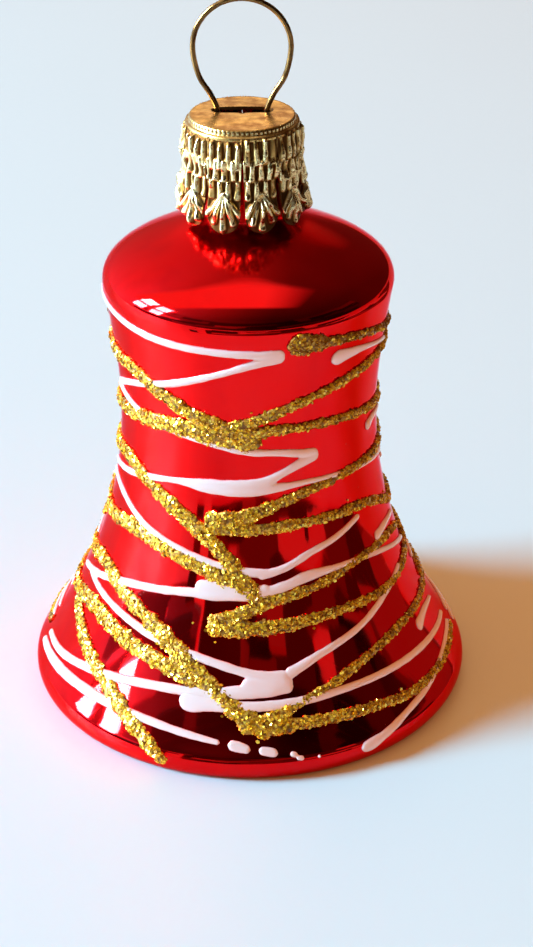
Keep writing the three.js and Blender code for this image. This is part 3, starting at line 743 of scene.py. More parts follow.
def makeCapTop():
    # The slotted top, its milled edge and the collar that the petals hang from.
    edge, top, fall = cap["edgeRadius"], cap["top"], cap["skirtDrop"]
    skirt, under = cap["topRadius"], cap["top"] - cap["topSheet"]
    outer = [(0.02, top)] + [(r, top + 0.05 * math.sin(r * 0.9)) for r in np.linspace(0.4, edge - 0.5, 22)]
    outer += [(edge - 0.22, top - 0.02), (edge - 0.06, top - 0.1), (edge, top - 0.24), (edge + 0.03, top - 0.42)]
    outer += [(edge - 0.02, top - 0.56), (edge + 0.12, top - 0.68), (skirt - 0.08, top - fall + 0.1)]
    outer += [(skirt + 0.02, top - fall - 0.3), (skirt - 0.22, top - fall - 0.4)]
    inner = [(skirt - 0.36, top - fall), (edge - 0.3, top - 0.6), (edge - 0.42, under), (0.02, under)]
    profile = np.array(outer + inner)
    segments = cap["mills"] * 6
    turn = np.linspace(0, 2 * np.pi, segments, endpoint=False)
    milled = np.exp(-((profile[:, 1] - (top - 0.34)) / 0.2) ** 2) * (profile[:, 0] > edge - 0.2)
    milled = milled[:, None]
    teeth = np.abs(np.cos(turn * cap["mills"] / 2))
    radius = profile[:, 0][:, None] + cap["millDepth"] * milled * (teeth - 0.9)
    points = revolved(radius, profile[:, 1][:, None], turn, cap["centre"])
    # The grooves between the mill teeth take the painted crease shade through this relief.
    relief = np.where(milled > 0.3, teeth, 0.66)
    faces = gridFaces(len(profile), segments, wrapColumns=True, wrapRows=True)
    topPiece = makeObject("capTop", points, faces, [capGold], attributes={"relief": relief.ravel()})
    cutSlot(topPiece)
    finishPiece(topPiece, "cap", "cap_metal")


def cutSlot(topPiece):
    half, end = cap["slotWidth"] / 2, cap["slotLength"] / 2 - cap["slotWidth"] / 2
    turn = np.linspace(-np.pi / 2, np.pi / 2, 14)
    right = np.stack([end + half * np.cos(turn), half * np.sin(turn)], 1)
    outline = np.vstack([right, -right])
    outline = outline + (cap["centre"], cap["slotBack"])
    low = np.column_stack([outline, np.full(len(outline), cap["top"] - 2)])
    high = np.column_stack([outline, np.full(len(outline), cap["top"] + 2)])
    count = len(outline)
    faces = [[i, (i + 1) % count, (i + 1) % count + count, i + count] for i in range(count)]
    faces += [list(range(count))[::-1], list(range(count, 2 * count))]
    cutter = makeObject("slotCutter", np.vstack([low, high]), faces, [capGold], smooth=False)
    cut = topPiece.modifiers.new("slot", "BOOLEAN")
    cut.object = cutter
    cut.solver = "EXACT"
    applyModifiers(topPiece)
    bpy.data.objects.remove(cutter)


def applyModifiers(thing):
    bpy.context.view_layer.update()
    made = bpy.data.meshes.new_from_object(thing.evaluated_get(bpy.context.evaluated_depsgraph_get()))
    thing.modifiers.clear()
    thing.data = made


makePetals()
makeCapTop()
print("cap made")


hanger = {
    "wire": 0.3, "loopRadius": 5.25, "loopRise": 7.35, "legX": 2.6, "legDepth": 6.7,
    "bow": ((0.28, 0.27), (0.76, 0.56)),  # share of the way out, share of the way up
}


def makeHanger():
    top = capHigh.z / mm
    reach = hanger["loopRadius"] - hanger["legX"]
    right = [(hanger["legX"], top - hanger["legDepth"]), (hanger["legX"], top)]
    right += [(hanger["legX"] + out * reach, top + up * hanger["loopRise"]) for out, up in hanger["bow"]]
    angle = np.linspace(0, np.pi, 9)
    centre = top + hanger["loopRise"]
    loop = [(hanger["loopRadius"] * math.cos(a), centre + hanger["loopRadius"] * math.sin(a)) for a in angle]
    left = [(-x, z) for x, z in reversed(right)]
    route = np.array([(x + cap["centre"], cap["slotBack"], z) for x, z in right + loop + left])
    points, faces = tubeMesh(smoothPath(route, 420), hanger["wire"], 24)
    wire = makeObject("hangerLoop", points, faces, [hangerGold])
    finishPiece(wire, "hanger", "hanger_metal", "hanger_wire")


makeHanger()
print("hanger made")


clapper = {
    "wire": 0.25, "eye": 1.0, "bridgeWire": 0.3, "gap": 0.3, "dip": 1.7, "beadRadius": 4.0, "beadBore": 0.55,
    "beadHeight": 12.0, "bridgeEnd": 1.6, "beadRings": 90, "beadSegments": 128,
    "wrapWire": 0.16, "wrapLead": 0.34,
}


def clapperHeights():
    bridge = bell["neckTop"] + clapper["bridgeWire"] + clapper["gap"] - clapper["dip"]
    eyeInner = clapper["eye"] - clapper["wire"]
    topEye = bridge - (eyeInner - clapper["bridgeWire"] - clapper["gap"])
    beadTop = clapper["beadHeight"] + math.sqrt(clapper["beadRadius"] ** 2 - clapper["beadBore"] ** 2)
    beadEye = beadTop + clapper["gap"] + clapper["eye"] + clapper["wire"]
    lowerEye = beadEye + eyeInner - clapper["wire"] - clapper["gap"] + clapper["eye"]
    return bridge, topEye, lowerEye, beadEye, beadTop


def makeBridge(height):
    rise = clapper["bridgeWire"] + clapper["gap"]
    neckTop, outer, bore = bell["neckTop"], bell["neckRadius"], bell["neckRadius"] - bell["wall"]
    half = [(0.7 * clapper["eye"], height), (1.7 * clapper["eye"], height + 0.15 * clapper["dip"])]
    half += [(bore - 0.8, neckTop + rise - 0.15 * clapper["dip"]), (bore, neckTop + rise)]
    half += [(outer + rise * math.cos(a), neckTop + rise * math.sin(a)) for a in np.radians((90, 45, 0))]
    half.append((outer + rise, neckTop - clapper["bridgeEnd"]))
    route = [(0, -y, z) for y, z in reversed(half)] + [(0, y, z) for y, z in half]
    points, faces = tubeMesh(smoothPath(route, 200), clapper["bridgeWire"])
    wire = makeObject("clapperBridge", points, faces, [drawnSteel])
    finishPiece(wire, "bell", "clapper_metal", "clapper_bridge")


def wrappedRod(bottom, top, wraps, wrapFrom):
    # A straight wire with a short coil around it beside the eye, as a maker closes the eye.
    rod = tubeMesh([(0, 0, z) for z in np.linspace(bottom, top, 60)], clapper["wire"])
    turn = np.linspace(0, 2 * np.pi * wraps, int(28 * wraps))
    climb = clapper["wrapLead"] * turn / (2 * np.pi)
    radius = clapper["wire"] + 0.15
    coil = np.stack([radius * np.cos(turn), radius * np.sin(turn), wrapFrom + climb], 1)
    return [rod, tubeMesh(coil, clapper["wrapWire"], 12)]


def makeClapper():
    bridge, topEye, lowerEye, beadEye, beadTop = clapperHeights()
    eye, wire = clapper["eye"], clapper["wire"]
    makeBridge(bridge)
    parts = [ringMesh((0, 0, topEye), eye, wire, "xz"), ringMesh((0, 0, lowerEye), eye, wire, "xz")]
    parts += wrappedRod(lowerEye + eye, topEye - eye, 4, lowerEye + eye + 0.25)
    parts.append(wrappedRod(lowerEye + eye, topEye - eye, 4, topEye - eye - 1.7)[1])
    points, faces = joinParts(parts)
    rod = makeObject("clapperWire", points, faces, [drawnSteel])
    finishPiece(rod, "clapper", "clapper_metal", "clapper_wire")
    beadBottom = 2 * clapper["beadHeight"] - beadTop
    knotRadius = clapper["beadBore"] + clapper["gap"]
    knot = ringMesh((0, 0, beadBottom - 0.3 - knotRadius), knotRadius - 0.22, 0.24, "xz")
    second = ringMesh((0, 0, beadBottom - 0.3 - knotRadius), knotRadius - 0.3, 0.24, "yz")
    parts = [ringMesh((0, 0, beadEye), eye, wire, "yz"), knot, second]
    parts.append(tubeMesh([(0, 0, z) for z in np.linspace(beadBottom - 0.9, beadEye - eye, 40)], wire))
    points, faces = joinParts(parts)
    link = makeObject("beadWire", points, faces, [drawnSteel])
    finishPiece(link, "bead", "clapper_metal", "clapper_bead_wire")
    pole = math.asin(clapper["beadBore"] / clapper["beadRadius"])
    angle = np.linspace(math.pi - pole, pole, clapper["beadRings"])[:, None]
    height = clapper["beadHeight"] + clapper["beadRadius"] * np.cos(angle)
    radius = clapper["beadRadius"] * np.sin(angle)
    radius = radius - 0.05 * (0.5 + 0.5 * np.sin(height * 2.4))  # faint wound rings in the glass
    turn = np.linspace(0, 2 * np.pi, clapper["beadSegments"], endpoint=False)
    faces = gridFaces(len(radius), len(turn), wrapColumns=True, wrapRows=True)
    bead = makeObject("clapperBead", revolved(radius, height, turn), faces, [beadLustre])
    finishPiece(bead, "bead", "bead_glass", "clapper_bead")


makeClapper()
print("clapper made")


# An arm of a trail lists (angle in degrees from the front, height, width).
goldTrails = {
    "gold_trail_shoulder": [
        [(15, 49.3, 1.9), (19, 49.4, 2.8), (25, 49.3, 2.3), (33, 49, 1.3), (50, 48.4, 0.9), (72, 46.9, 0.8),
         (88, 46.2, 0.8)],
    ],
    "gold_trail_upper": [
        [(-89, 44.2, 1), (-69, 43.8, 1.1), (-55, 43.6, 1.2), (-38, 41.9, 1.2), (-19, 39.9, 1.4), (-9, 39, 1.7)],
        [(-13, 38.6, 1.7), (0, 39.9, 1.3), (22, 42, 1.1), (50, 43.6, 1), (89, 44.2, 0.9)],
        [(-89, 36.4, 1), (-60, 37.6, 1.3), (-31, 38.4, 1.7), (-14, 38.2, 2.4), (2, 37.4, 1.9), (5, 37.2, 1.5)],
        [(-4, 38.2, 2), (8, 38.8, 1.3), (20, 38.9, 1), (43, 38.4, 1), (89, 36.4, 0.9)],
    ],
    "gold_trail_middle": [
        [(-89, 30.9, 1), (-65, 31.5, 1.3), (-42, 29.4, 1.3), (-25, 27.1, 1.4), (-12, 24.3, 1.5), (4, 18.9, 1.5)],
        [(-89, 22.6, 1), (-72, 23.1, 1.1), (-54, 23.9, 1.3), (-31, 23, 1.3), (-9, 21.2, 1.6), (5, 18.9, 1.5)],
        [(3, 18.7, 1.4), (23, 19.5, 1.1), (45, 20.7, 0.9), (70, 20.6, 0.8), (86, 19.6, 0.8)],
        [(-15, 16.1, 1.8), (-5, 17.3, 1.3), (10, 18.8, 1.2)],
        [(-15, 15.9, 1.8), (4, 15.9, 1.5), (32, 16.3, 1.1), (61, 15.9, 0.9), (89, 16.4, 0.8)],
    ],
    "gold_trail_turn": [
        [(-19, 27.6, 1.9), (-4, 28.3, 1.6), (10, 29.6, 1.2), (24, 30.7, 1.1), (46, 31.4, 1), (89, 30.9, 0.9)],
        [(-19, 27.3, 1.9), (0, 27, 1.4), (26, 27.1, 1.1), (58, 26.3, 1), (89, 22.6, 0.9)],
    ],
    "gold_trail_lower": [
        [(-89, 16.4, 1), (-69, 17.7, 1.2), (-53, 16.5, 1.3), (-39, 15.2, 1.3), (-25, 12.9, 1.6), (-4, 7.6, 1.7),
         (2, 5.8, 2.3)],
        [(1, 5.9, 2.1), (9, 7.3, 1.1), (25, 9.2, 0.9), (42, 10.8, 0.9), (59, 11.5, 0.9), (89, 11.2, 0.8)],
        [(1, 5.9, 2.2), (12, 6.1, 1.3), (35, 5.8, 1), (52, 5.1, 0.9), (89, 5.2, 0.8)],
        [(-89, 11.2, 1), (-66, 12.8, 1.3), (-46, 12.1, 1.3), (-30, 11.2, 1.3), (-16, 10, 1.4)],
        [(-80, 11.4, 1.1), (-62, 9.1, 1.2), (-41, 6.2, 1.2), (-25, 2.7, 1.1), (-22, 1.6, 1)],
    ],
}
whiteTrails = {
    "white_trail_upper": [
        [(-89, 50, 0.7), (-71, 49.7, 0.8), (-41, 49, 0.9), (-15, 48.8, 0.9), (2, 48.6, 1), (14, 48.4, 1.4)],
        [(14, 48.2, 1.4), (2, 47.4, 1), (-10, 46.2, 0.8), (-29, 44.2, 0.9), (-46, 42.6, 0.8), (-63, 41.1, 0.8),
         (-77, 39.6, 0.9)],
        [(-77, 39.6, 0.9), (-58, 38.5, 0.8), (-21, 37.3, 0.8), (0, 36.3, 0.9), (13, 36, 0.9), (31, 35.1, 1.3)],
        [(31, 35, 1.3), (22, 34.3, 1.2), (14, 33.4, 1), (6, 32.5, 1.3), (-8, 31.9, 1.8), (-19, 31.8, 1.6),
         (-31, 31.7, 0.8), (-48, 30.8, 0.8), (-64, 29.7, 0.8), (-86, 28.6, 0.7)],
        [(-18, 31.6, 1.3), (0, 31.6, 1.5), (14, 31.8, 1), (26, 31.9, 0.7), (50, 31.3, 0.7), (88, 29.6, 0.6)],
    ],
    "white_trail_middle": [
        [(-86, 27.4, 0.7), (-71, 26.8, 0.8), (-48, 24.9, 0.8), (-26, 23.5, 0.8), (-4, 22.2, 0.9), (8, 21.8, 1.2)],
        [(3, 21.6, 1.1), (14, 22.3, 0.9), (25, 23.5, 0.9), (37, 24.3, 0.8), (52, 25.5, 0.7)],
    ],
    "white_trail_lower": [
        [(-89, 13.9, 0.7), (-72, 15.6, 0.8), (-50, 17.7, 0.9), (-33, 18.7, 0.9), (-23, 19.2, 1), (-14, 19.4, 1.4),
         (8, 20, 1.5)],
        [(-21, 20.1, 1.3), (-12, 20, 1.9), (-2, 19.8, 1.9), (8, 19.7, 1.3)],
        [(4, 19.6, 1.3), (14, 20.3, 1.2), (22, 20.9, 1.3), (34, 21, 0.8), (54, 20.4, 0.7), (88, 17.4, 0.6)],
        [(-80, 14.9, 0.7), (-53, 14.3, 0.8), (-31, 13.3, 0.9), (-13, 12.3, 0.9), (2, 11.1, 1), (12, 10.6, 1.6)],
        [(-3, 9.9, 1.7), (5, 10.1, 2), (13, 10.2, 1.9)],
        [(11, 10.9, 1.3), (23, 12.4, 0.9), (41, 13.9, 0.8), (56, 15.4, 0.8), (72, 16.6, 0.6)],
        [(13, 9.8, 1.4), (-3, 9.4, 1.4), (-14, 9.1, 1), (-31, 8.7, 0.9), (-55, 7.2, 0.9), (-72, 5.9, 0.8),
         (-85, 5.3, 0.7)],
    ],
    "white_trail_band": [
        [(-21, 8.1, 1.7), (-17, 8.1, 2), (-12, 8.1, 1.5), (-3, 8, 1.1), (10, 8.1, 1), (31, 8.4, 0.8), (60, 8, 0.8),
         (88, 6.9, 0.6)],
    ],
    "white_trail_rim": [
        [(-86, 4.1, 0.8), (-71, 4.7, 1), (-52, 5.3, 1), (-31, 5.4, 0.8), (-16, 4.9, 0.7), (-8, 4.5, 0.5)],
        [(-6, 4.4, 0.9), (-3, 4.2, 1), (0, 3.9, 0.7)],
    ],
    "white_trail_rim_end": [
        [(29, 2.3, 1), (32, 2.4, 1.4), (36, 2.8, 1), (46, 3.8, 0.7), (55, 4.4, 0.7), (75, 5.6, 0.6),
         (88, 5.7, 0.6)],
    ],
    "white_tear_a": [[(34.5, 46.5, 1.7), (39, 46.6, 1.9), (44, 46.6, 1.4), (53, 46.4, 0.8), (78, 44.8, 0.5)]],
    "white_tear_b": [[(63, 35, 1.5), (70, 35.6, 0.9), (86, 35.2, 0.5)]],
    "white_tear_c": [[(60, 21.6, 1.4), (70, 21.9, 0.9), (84, 21.6, 0.5)]],
    "white_tear_d": [[(66, 9.6, 1.5), (75, 10, 0.9), (86, 9.5, 0.5)]],
    "white_dash_a": [[(2, 3.9, 0.8), (5, 3.7, 0.9), (7, 3.5, 0.7)]],
    "white_dash_b": [
        [(10, 3.4, 0.6), (12, 3.2, 0.5)],
        [(11.5, 3, 0.5), (13.5, 2.8, 0.6)],
        [(17, 2.8, 0.5), (17.8, 2.7, 0.5)],
    ],
}
trail = {
    "repeats": 2, "step": 0.14, "sunk": 0.08,
    "whiteRise": 0.30, "whiteVoxel": 0.085, "whiteWander": 0.06, "whiteSpread": 1.1, "whiteRounds": 8,
    "goldRise": 0.30, "goldVoxel": 0.13, "goldWander": 0.2, "goldSpread": 1.35, "goldRounds": 3,
}
grain = {
    "size": (0.15, 0.26), "perSquare": 13.5, "tilt": 0.33, "above": 0.045, "below": 0.05,
    "spill": 0.8, "strays": 0.2, "dullShare": 0.12, "dullest": {"gold_trail_shoulder": 0.6},
}


def onGlass(angle, height, lift):
    # Points at a lift above the glass; angle in radians, 0 at the front.
    slope = (bellRadius(height + 0.05) - bellRadius(height - 0.05)) / 0.1
    above = lift / np.hypot(1, slope)
    return revolved(bellRadius(height) + above, height - slope * above, angle)


def beadAlong(arm, rise, wander, spread, seed):
    # A low rounded bead that follows an arm over the glass, with a hand's unevenness and round ends.
    arm = np.array(arm, float)
    flat = np.column_stack([np.radians(arm[:, 0]) * bell["waistRadius"], arm[:, 1], arm[:, 2]])
    span = np.linalg.norm(np.diff(flat[:, :2], axis=0), axis=1).sum()
    path = smoothPath(flat, max(12, int(span / trail["step"])))
    stretch = bellRadius(path[:, 1]) / bell["waistRadius"]
    along = np.gradient(path[:, :2], axis=0)
    along[:, 0] *= stretch
    along /= np.linalg.norm(along, axis=1)[:, None]
    reach = np.concatenate([[0], np.cumsum(np.hypot(np.diff(path[:, 0]) * stretch[1:], np.diff(path[:, 1])))])
    uneven = np.array([noise.noise(Vector((d * 0.9, seed * 7.3, 0))) for d in reach])
    half = path[:, 2] / 2 * (1 + wander * 1.6 * uneven)
    half = half * np.interp(np.degrees(path[:, 0] / bell["waistRadius"]), (-30, 20), (spread, 1))
    fromEnd = np.minimum(reach, reach[-1] - reach)
    rounded = np.sqrt(np.clip(1 - (1 - np.clip(fromEnd / half, 0.02, 1)) ** 2, 0.02, 1))
    across = np.linspace(-1, 1, 9)
    crown = np.sqrt(1 - across ** 2 * 0.97)
    rings = []
    for place, way, h, r, u in zip(path, along, half, rounded, uneven):
        offset = across * h * r
        angle = place[0] / bell["waistRadius"] - way[1] * offset / bellRadius(place[1])
        height = place[1] + way[0] * offset
        tall = rise * (0.75 + 0.25 * min(h * 2, 1.6)) * (1 + wander * u)
        top = onGlass(angle, height, tall * crown * (0.35 + 0.65 * r))
        low = onGlass(angle[::-1], height[::-1], np.full(len(across), -trail["sunk"]))
        rings.append(np.vstack([top, low]))
    count = 2 * len(across)
    points = np.vstack(rings)
    faces = gridFaces(len(rings), count, wrapColumns=True)[:, ::-1].tolist()
    faces.append(list(range(count)))
    faces.append([len(points) - 1 - k for k in range(count)])
    return points, faces


def meltTogether(name, parts, voxel, rounds):
    # Arms that cross are made one body, and the corners between them fill and soften.
    points, faces = joinParts(parts)
    thing = makeObject(name, points, faces, [])
    remesh = thing.modifiers.new("melt", "REMESH")
    remesh.mode = "VOXEL"
    remesh.voxel_size = voxel * mm
    soften = thing.modifiers.new("soften", "SMOOTH")
    soften.factor = 0.5
    soften.iterations = rounds
    applyModifiers(thing)
    mesh = thing.data
    made = np.empty(len(mesh.vertices) * 3)
    mesh.vertices.foreach_get("co", made)
    quads = [list(p.vertices) for p in mesh.polygons]
    bpy.data.objects.remove(thing)
    return made.reshape(-1, 3) / mm, quads


def liftOf(points):
    radius = np.hypot(points[:, 0], points[:, 1])
    height = points[:, 2]
    slope = (bellRadius(height + 0.05) - bellRadius(height - 0.05)) / 0.1
    return (radius - bellRadius(height)) / np.hypot(1, slope)


def turnedBy(points, angle):
    c, s = math.cos(angle), math.sin(angle)
    return points @ np.array(((c, s, 0), (-s, c, 0), (0, 0, 1)))


def grainsOn(points, quads, arms, turn, rng):
    # Small faceted flakes scattered over the part of a bead that stands above the glass.
    corners = points[np.array(quads)]
    middle = corners.mean(1)
    normal = np.cross(corners[:, 2] - corners[:, 0], corners[:, 3] - corners[:, 1])
    area = np.linalg.norm(normal, axis=1) / 2
    normal /= np.maximum(area[:, None] * 2, 1e-9)
    outward = middle * (1, 1, 0)
    outward /= np.linalg.norm(outward, axis=1)[:, None]
    facing = (np.sum(normal * outward, 1) > -0.2) & (liftOf(middle) > 0.03)
    area = np.where(facing, area, 0)
    count = int(area.sum() * grain["perSquare"])
    chosen = rng.choice(len(area), count, p=area / area.sum())
    mix = rng.dirichlet((1, 1, 1, 1), count)
    place = np.einsum("nk,nkd->nd", mix, corners[chosen])
    place = place + normal[chosen] * rng.uniform(-0.02, 0.07, count)[:, None]
    loose, looseNormal = (turnedBy(part, turn) for part in strayGrains(arms, rng))
    return flakes(np.vstack([place, loose]), np.vstack([normal[chosen], looseNormal]), rng)


def strayGrains(arms, rng):
    # Loose grains that lie on the glass beside a line.
    placed = []
    for arm in arms:
        arm = np.array(arm, float)
        flat = np.column_stack([np.radians(arm[:, 0]) * bell["waistRadius"], arm[:, 1], arm[:, 2]])
        span = np.linalg.norm(np.diff(flat[:, :2], axis=0), axis=1).sum()
        path = smoothPath(flat, max(3, int(span * grain["strays"] * 4)))
        away = rng.normal(0, 0.5, (len(path), 2)) * path[:, 2:] * grain["spill"]
        kept = rng.random(len(path)) < 0.6
        place = (path[:, :2] + away)[kept]
        placed.append(place / (bell["waistRadius"], 1))
    placed = np.vstack(placed)
    placed[:, 1] = np.clip(placed[:, 1], 1.5, bell["shoulderHeight"])
    place = onGlass(placed[:, 0], placed[:, 1], np.full(len(placed), 0.05))
    above = onGlass(placed[:, 0], placed[:, 1], np.full(len(placed), 1.05))
    return place, above - place


def flakes(place, normal, rng):
    count = len(place)
    tilt = normal + rng.normal(0, grain["tilt"], (count, 3))
    tilt /= np.linalg.norm(tilt, axis=1)[:, None]
    side = np.cross(tilt, rng.normal(0, 1, (count, 3)))
    side /= np.linalg.norm(side, axis=1)[:, None]
    other = np.cross(tilt, side)
    size = rng.uniform(*grain["size"], count)
    turn = np.radians(np.arange(6) * 60)
    ring = np.cos(turn)[None, :, None] * side[:, None, :] + np.sin(turn)[None, :, None] * other[:, None, :]
    jitter = rng.uniform(0.72, 1.1, (count, 6, 1))
    wide = place[:, None, :] + ring * jitter * size[:, None, None]
    top = wide + tilt[:, None, :] * grain["above"]
    narrow = place[:, None, :] + ring * jitter * size[:, None, None] * 0.8
    base = narrow - tilt[:, None, :] * grain["below"]
    points = np.concatenate([top, base], 1).reshape(-1, 3)
    start = np.arange(count)[:, None] * 12
    k = np.arange(6)
    after = (k + 1) % 6
    sides = np.stack([start + k, start + k + 6, start + after + 6, start + after], -1).reshape(-1, 4)
    faces = (start + k).tolist() + sides.tolist()
    tone = np.repeat(rng.beta(1.5, 1.7, count), 12)
    return points, faces, tone


def layTrail(node, arms, kind, seed):
    rise, wander, spread = (trail[kind + part] for part in ("Rise", "Wander", "Spread"))
    parts = [beadAlong(arm, rise, wander, spread, seed + k) for k, arm in enumerate(arms)]
    return meltTogether(node, parts, trail[kind + "Voxel"], trail[kind + "Rounds"])


def makeWhiteTrail(node, arms, seed):
    points, quads = layTrail(node, arms, "white", seed)
    body = np.clip(liftOf(points) / trail["whiteRise"], 0, 1)
    for i in range(trail["repeats"]):
        spun = turnedBy(points, 2 * math.pi * i / trail["repeats"])
        bead = makeObject(f"{node}_bead_{i + 1}", spun, quads, [whiteEnamel], attributes={"bead": body})
        finishPiece(bead, "bell", "white_enamel", f"{node}_{i + 1}")


def makeGoldTrail(node, arms, seed):
    points, quads = layTrail(node, arms, "gold", seed)
    for i in range(trail["repeats"]):
        turn = 2 * math.pi * i / trail["repeats"]
        spun = turnedBy(points, turn)
        rng = np.random.default_rng(seed * 10 + i)
        chips, chipFaces, tone = grainsOn(spun, quads, arms, turn, rng)
        allPoints, allFaces = joinParts([(spun, quads), (chips, chipFaces)])
        slots = np.concatenate([np.zeros(len(quads), int), np.ones(len(chipFaces), int)])
        dull = np.repeat(rng.random(len(tone) // 12) < grain["dullest"].get(node, grain["dullShare"]), 12)
        tones = np.concatenate([np.full(len(spun), 0.3), np.where(dull, tone * 0.1, tone)])
        line = makeObject(f"{node}_glitter_{i + 1}", allPoints, allFaces, [glueGoldAndGapShade, goldGlitter],
                          attributes={"grain": tones}, faceSlots=slots)
        smoothOnly(line, len(quads))
        finishPiece(line, "bell", "gold_glitter", f"{node}_{i + 1}")


def smoothOnly(thing, count):
    flags = np.zeros(len(thing.data.polygons), bool)
    flags[:count] = True
    thing.data.polygons.foreach_set("use_smooth", flags)


for order, (node, arms) in enumerate(whiteTrails.items()):
    makeWhiteTrail(node, arms, order)
print("white trails made")
for order, (node, arms) in enumerate(goldTrails.items()):
    makeGoldTrail(node, arms, order + 40)
print("gold trails made")


studio = {
    "floorRadius": 3.0, "floorColour": (0.775, 0.82, 0.825), "backdrop": (0.80, 0.87, 0.94), "distance": 2.0,
    "fill": (0.72, 0.31, 0.10),
    # A lamp lists its azimuth from the front towards +X, elevation, width and height in degrees,
    # then its radiance and colour. The panes share theirs.
    "key": (-81, 29, 17, 14, 100.0, (0.22, 0.70, 1.0)),
    "panes": [(-94, 18, 11, 14), (-94, 35, 11, 13), (-76, 18, 10, 14), (-76, 35, 10, 13)],
    "pane": (130.0, (0.7, 0.88, 1.0)),
    "floorRings": 24, "floorSegments": 96,
}
flag = {
    "radius": 105, "from": -42, "to": 130, "height": 44, "sill": 24, "columns": 90,
    "gap": -0.58, "gapHalf": 0.055, "gapColour": (0.85, 0.8, 0.8),
    "tones": [(0.0, (0.05, 0.016, 0.01)), (0.3, (0.12, 0.05, 0.03)), (0.65, (0.26, 0.16, 0.12)),
              (0.88, (0.55, 0.45, 0.4))],
}
room = {
    # The walls from the window's side, at 0, to the far side, at 1.
    "walls": [(0.03, (0.85, 1.25, 2.0)), (0.2, (0.66, 0.72, 0.95)), (0.35, (0.42, 0.36, 0.34)),
              (0.5, (0.21, 0.14, 0.10)), (0.62, (0.09, 0.055, 0.035)), (0.85, (0.05, 0.03, 0.02))],
    "blocks": [(0.0, grey(0.3)), (0.45, grey(0.8)), (0.75, grey(2.0))],
    "ceiling": (0.95, 0.80, 0.66), "glow": (1.35, 0.92, 0.55), "glowAim": (0, 0.87, 0.5),
}


def makeFloor():
    segments = studio["floorSegments"]
    rings = np.concatenate([[0.0], np.geomspace(0.02, studio["floorRadius"], studio["floorRings"])]) / mm
    turn = np.linspace(0, 2 * np.pi, segments, endpoint=False)
    points = revolved(rings[:, None], -0.02, turn)
    material, tree, shader = newMaterial("paleTable")
    place = objectPlace(tree)
    cloud = noiseOf(tree, place, 9.0, 4.0)
    tint = mixColour(tree, cloud, studio["floorColour"], tuple(c * 0.97 for c in studio["floorColour"]))
    fine = noiseOf(tree, place, 700.0, 3.0)
    rough = rampNode(tree, fine, [(0.3, grey(0.40)), (0.7, grey(0.48))])
    # Seen from below the table lets the view through, so that the inside of the bell shows.
    under = addNode(tree, "ShaderNodeNewGeometry").outputs["Backfacing"]
    feed(tree, shader, {
        "Base Color": tint, "Roughness": rough, "Alpha": mathNode(tree, "SUBTRACT", 1.0, under),
        "Normal": bumpFrom(tree, fine, 0.01, 0.0001),
    })
    faces = gridFaces(len(rings), segments, wrapColumns=True)[:, ::-1]  # the front of each face looks up
    floor = makeObject("floor", points, faces, [material])


def makeLamp(name, azimuth, elevation, wide, high, radiance, colour):
    azimuth, elevation = math.radians(azimuth), math.radians(elevation)
    level = math.cos(elevation)
    way = Vector((math.sin(azimuth) * level, -math.cos(azimuth) * level, math.sin(elevation)))
    data = bpy.data.lights.new(name, "AREA")
    data.shape = "RECTANGLE"
    data.size = studio["distance"] * math.radians(wide)
    data.size_y = studio["distance"] * math.radians(high)
    data.color = colour
    data.energy = math.pi * data.size * data.size_y * radiance
    lamp = bpy.data.objects.new(name, data)
    lamp.location = way * studio["distance"] + Vector((0, 0, 0.03))
    lamp.rotation_euler = way.to_track_quat("Z", "Y").to_euler()
    bpy.context.scene.collection.objects.link(lamp)
    return lamp


def makeLamps():
    # The key lights the scene; four small panes are only mirrored in what is glossy.
    key = makeLamp("key", *studio["key"])
    key.visible_glossy = False
    for i, pane in enumerate(studio["panes"]):
        lamp = makeLamp(f"pane_{i + 1}", *pane, *studio["pane"])
        lamp.visible_diffuse = False


def blockPattern(tree, across, up):
    # Upright rectangles of different tones, like a room out of focus.
    place = addNode(tree, "ShaderNodeCombineXYZ", {0: across, 1: up}).outputs[0]
    inputs = {"Vector": place, "Scale": 1.0, "Randomness": 0.85}
    cells = addNode(tree, "ShaderNodeTexVoronoi", inputs, distance="CHEBYCHEV")
    return addNode(tree, "ShaderNodeSeparateColor", {"Color": cells.outputs["Color"]}).outputs


def makeFlag():
    # A dark curved card in front, seen only in reflections: the room beyond the table's edge.
    angle = np.radians(np.linspace(flag["from"], flag["to"], flag["columns"]))
    rows = [0.1, flag["height"]]
    points = [(flag["radius"] * math.sin(a), -flag["radius"] * math.cos(a), z) for z in rows for a in angle]
    material, tree, shader = newMaterial("darkCard")
    x, y, z = addNode(tree, "ShaderNodeSeparateXYZ", {"Vector": objectPlace(tree)}).outputs
    azimuth = mathNode(tree, "ARCTAN2", x, product(tree, y, -1.0))
    across = product(tree, azimuth, 3.0)
    tone, edge = blockPattern(tree, across, product(tree, z, 100.0))[:2]
    glow = rampNode(tree, tone, flag["tones"], "CONSTANT")
    gap = mathNode(tree, "COMPARE", azimuth, flag["gap"])
    gap.node.inputs[2].default_value = flag["gapHalf"]
    glow = mixColour(tree, gap, glow, flag["gapColour"])
    # The top edge is broken: some blocks end at the sill.
    high = mathNode(tree, "GREATER_THAN", z, flag["sill"] * mm)
    cutAway = product(tree, high, mathNode(tree, "GREATER_THAN", edge, 0.45))
    feed(tree, shader, {
        "Base Color": (0, 0, 0, 1), "Specular IOR Level": 0.0, "Emission Color": glow, "Emission Strength": 1.0,
        "Alpha": mathNode(tree, "SUBTRACT", 1.0, cutAway),
    })
    card = makeObject("flag", points, gridFaces(2, len(angle)), [material])
    card.visible_camera = False
    card.visible_diffuse = False
    card.visible_shadow = False
    card.visible_transmission = False


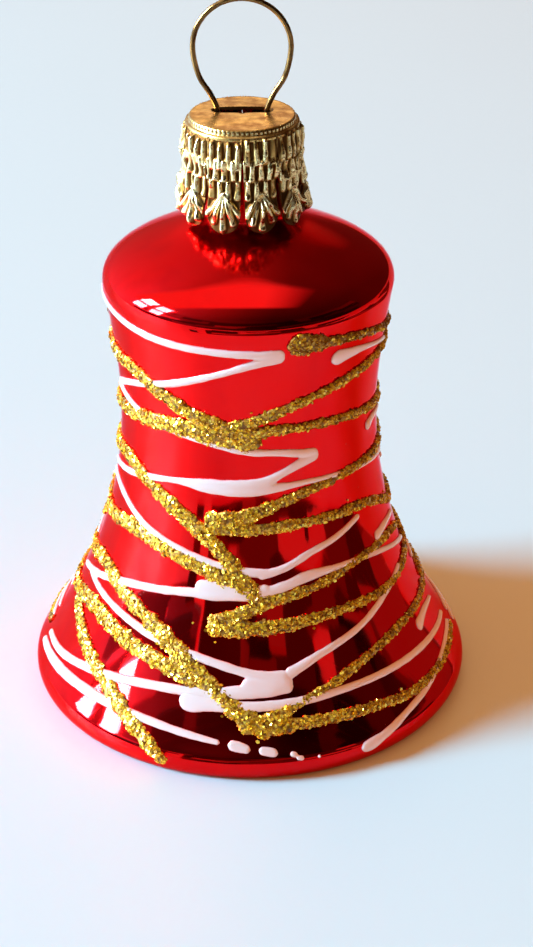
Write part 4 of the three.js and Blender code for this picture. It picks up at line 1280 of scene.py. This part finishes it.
def makeSurroundings():
    world = bpy.data.worlds.new("studio")
    world.use_nodes = True
    bpy.context.scene.world = world
    tree = world.node_tree
    back = tree.nodes["Background"]
    way = addNode(tree, "ShaderNodeTexCoord").outputs["Generated"]
    x, y, z = addNode(tree, "ShaderNodeSeparateXYZ", {"Vector": way}).outputs
    azimuth = mathNode(tree, "ARCTAN2", x, product(tree, y, -1.0))
    # Window side bright and bluish, far side dark.
    side = mathNode(tree, "MULTIPLY_ADD", x, 0.5)
    side.node.inputs[2].default_value = 0.5
    walls = rampNode(tree, side, room["walls"])
    depth = {0: walls, "Scale": rangeNode(tree, y, -0.65, 0.4, 0.3, 1.3)}
    walls = addNode(tree, "ShaderNodeVectorMath", depth, operation="SCALE").outputs[0]
    # Furniture shapes in the front half of the room.
    tone = blockPattern(tree, product(tree, azimuth, 3.0), product(tree, z, 8.0))[0]
    blocks = rampNode(tree, tone, room["blocks"], "CONSTANT")
    low = rampNode(tree, z, [(0.50, grey(1)), (0.60, grey(0))])
    front = mathNode(tree, "LESS_THAN", y, 0.1)
    blocks = mixColour(tree, product(tree, low, front), grey(1.0), blocks)
    seen = mixColour(tree, 1.0, walls, blocks, "MULTIPLY")
    # A lit stretch of ceiling around the zenith, which ends before the far side.
    near = rangeNode(tree, y, -0.20, -0.12)
    far = rangeNode(tree, y, 0.32, 0.26)
    end = rangeNode(tree, x, 0.42, 0.12)
    strip = product(tree, near, far, end, mathNode(tree, "GREATER_THAN", z, 0.45))
    seen = mixColour(tree, strip, seen, room["ceiling"])
    # A soft glow low down behind, which only the flat top of the cap mirrors.
    off = addNode(tree, "ShaderNodeVectorMath", {0: way, 1: room["glowAim"]}, operation="DISTANCE")
    aim = off.outputs["Value"]
    glow = rangeNode(tree, aim, 0.4, 0.12)
    seen = mixColour(tree, glow, seen, room["glow"])
    path = addNode(tree, "ShaderNodeLightPath").outputs
    colour = mixColour(tree, path["Is Glossy Ray"], studio["fill"], seen)
    tree.links.new(mixColour(tree, path["Is Camera Ray"], colour, studio["backdrop"]), back.inputs["Color"])


makeFloor()
makeFlag()
makeLamps()
makeSurroundings()
print("studio made")
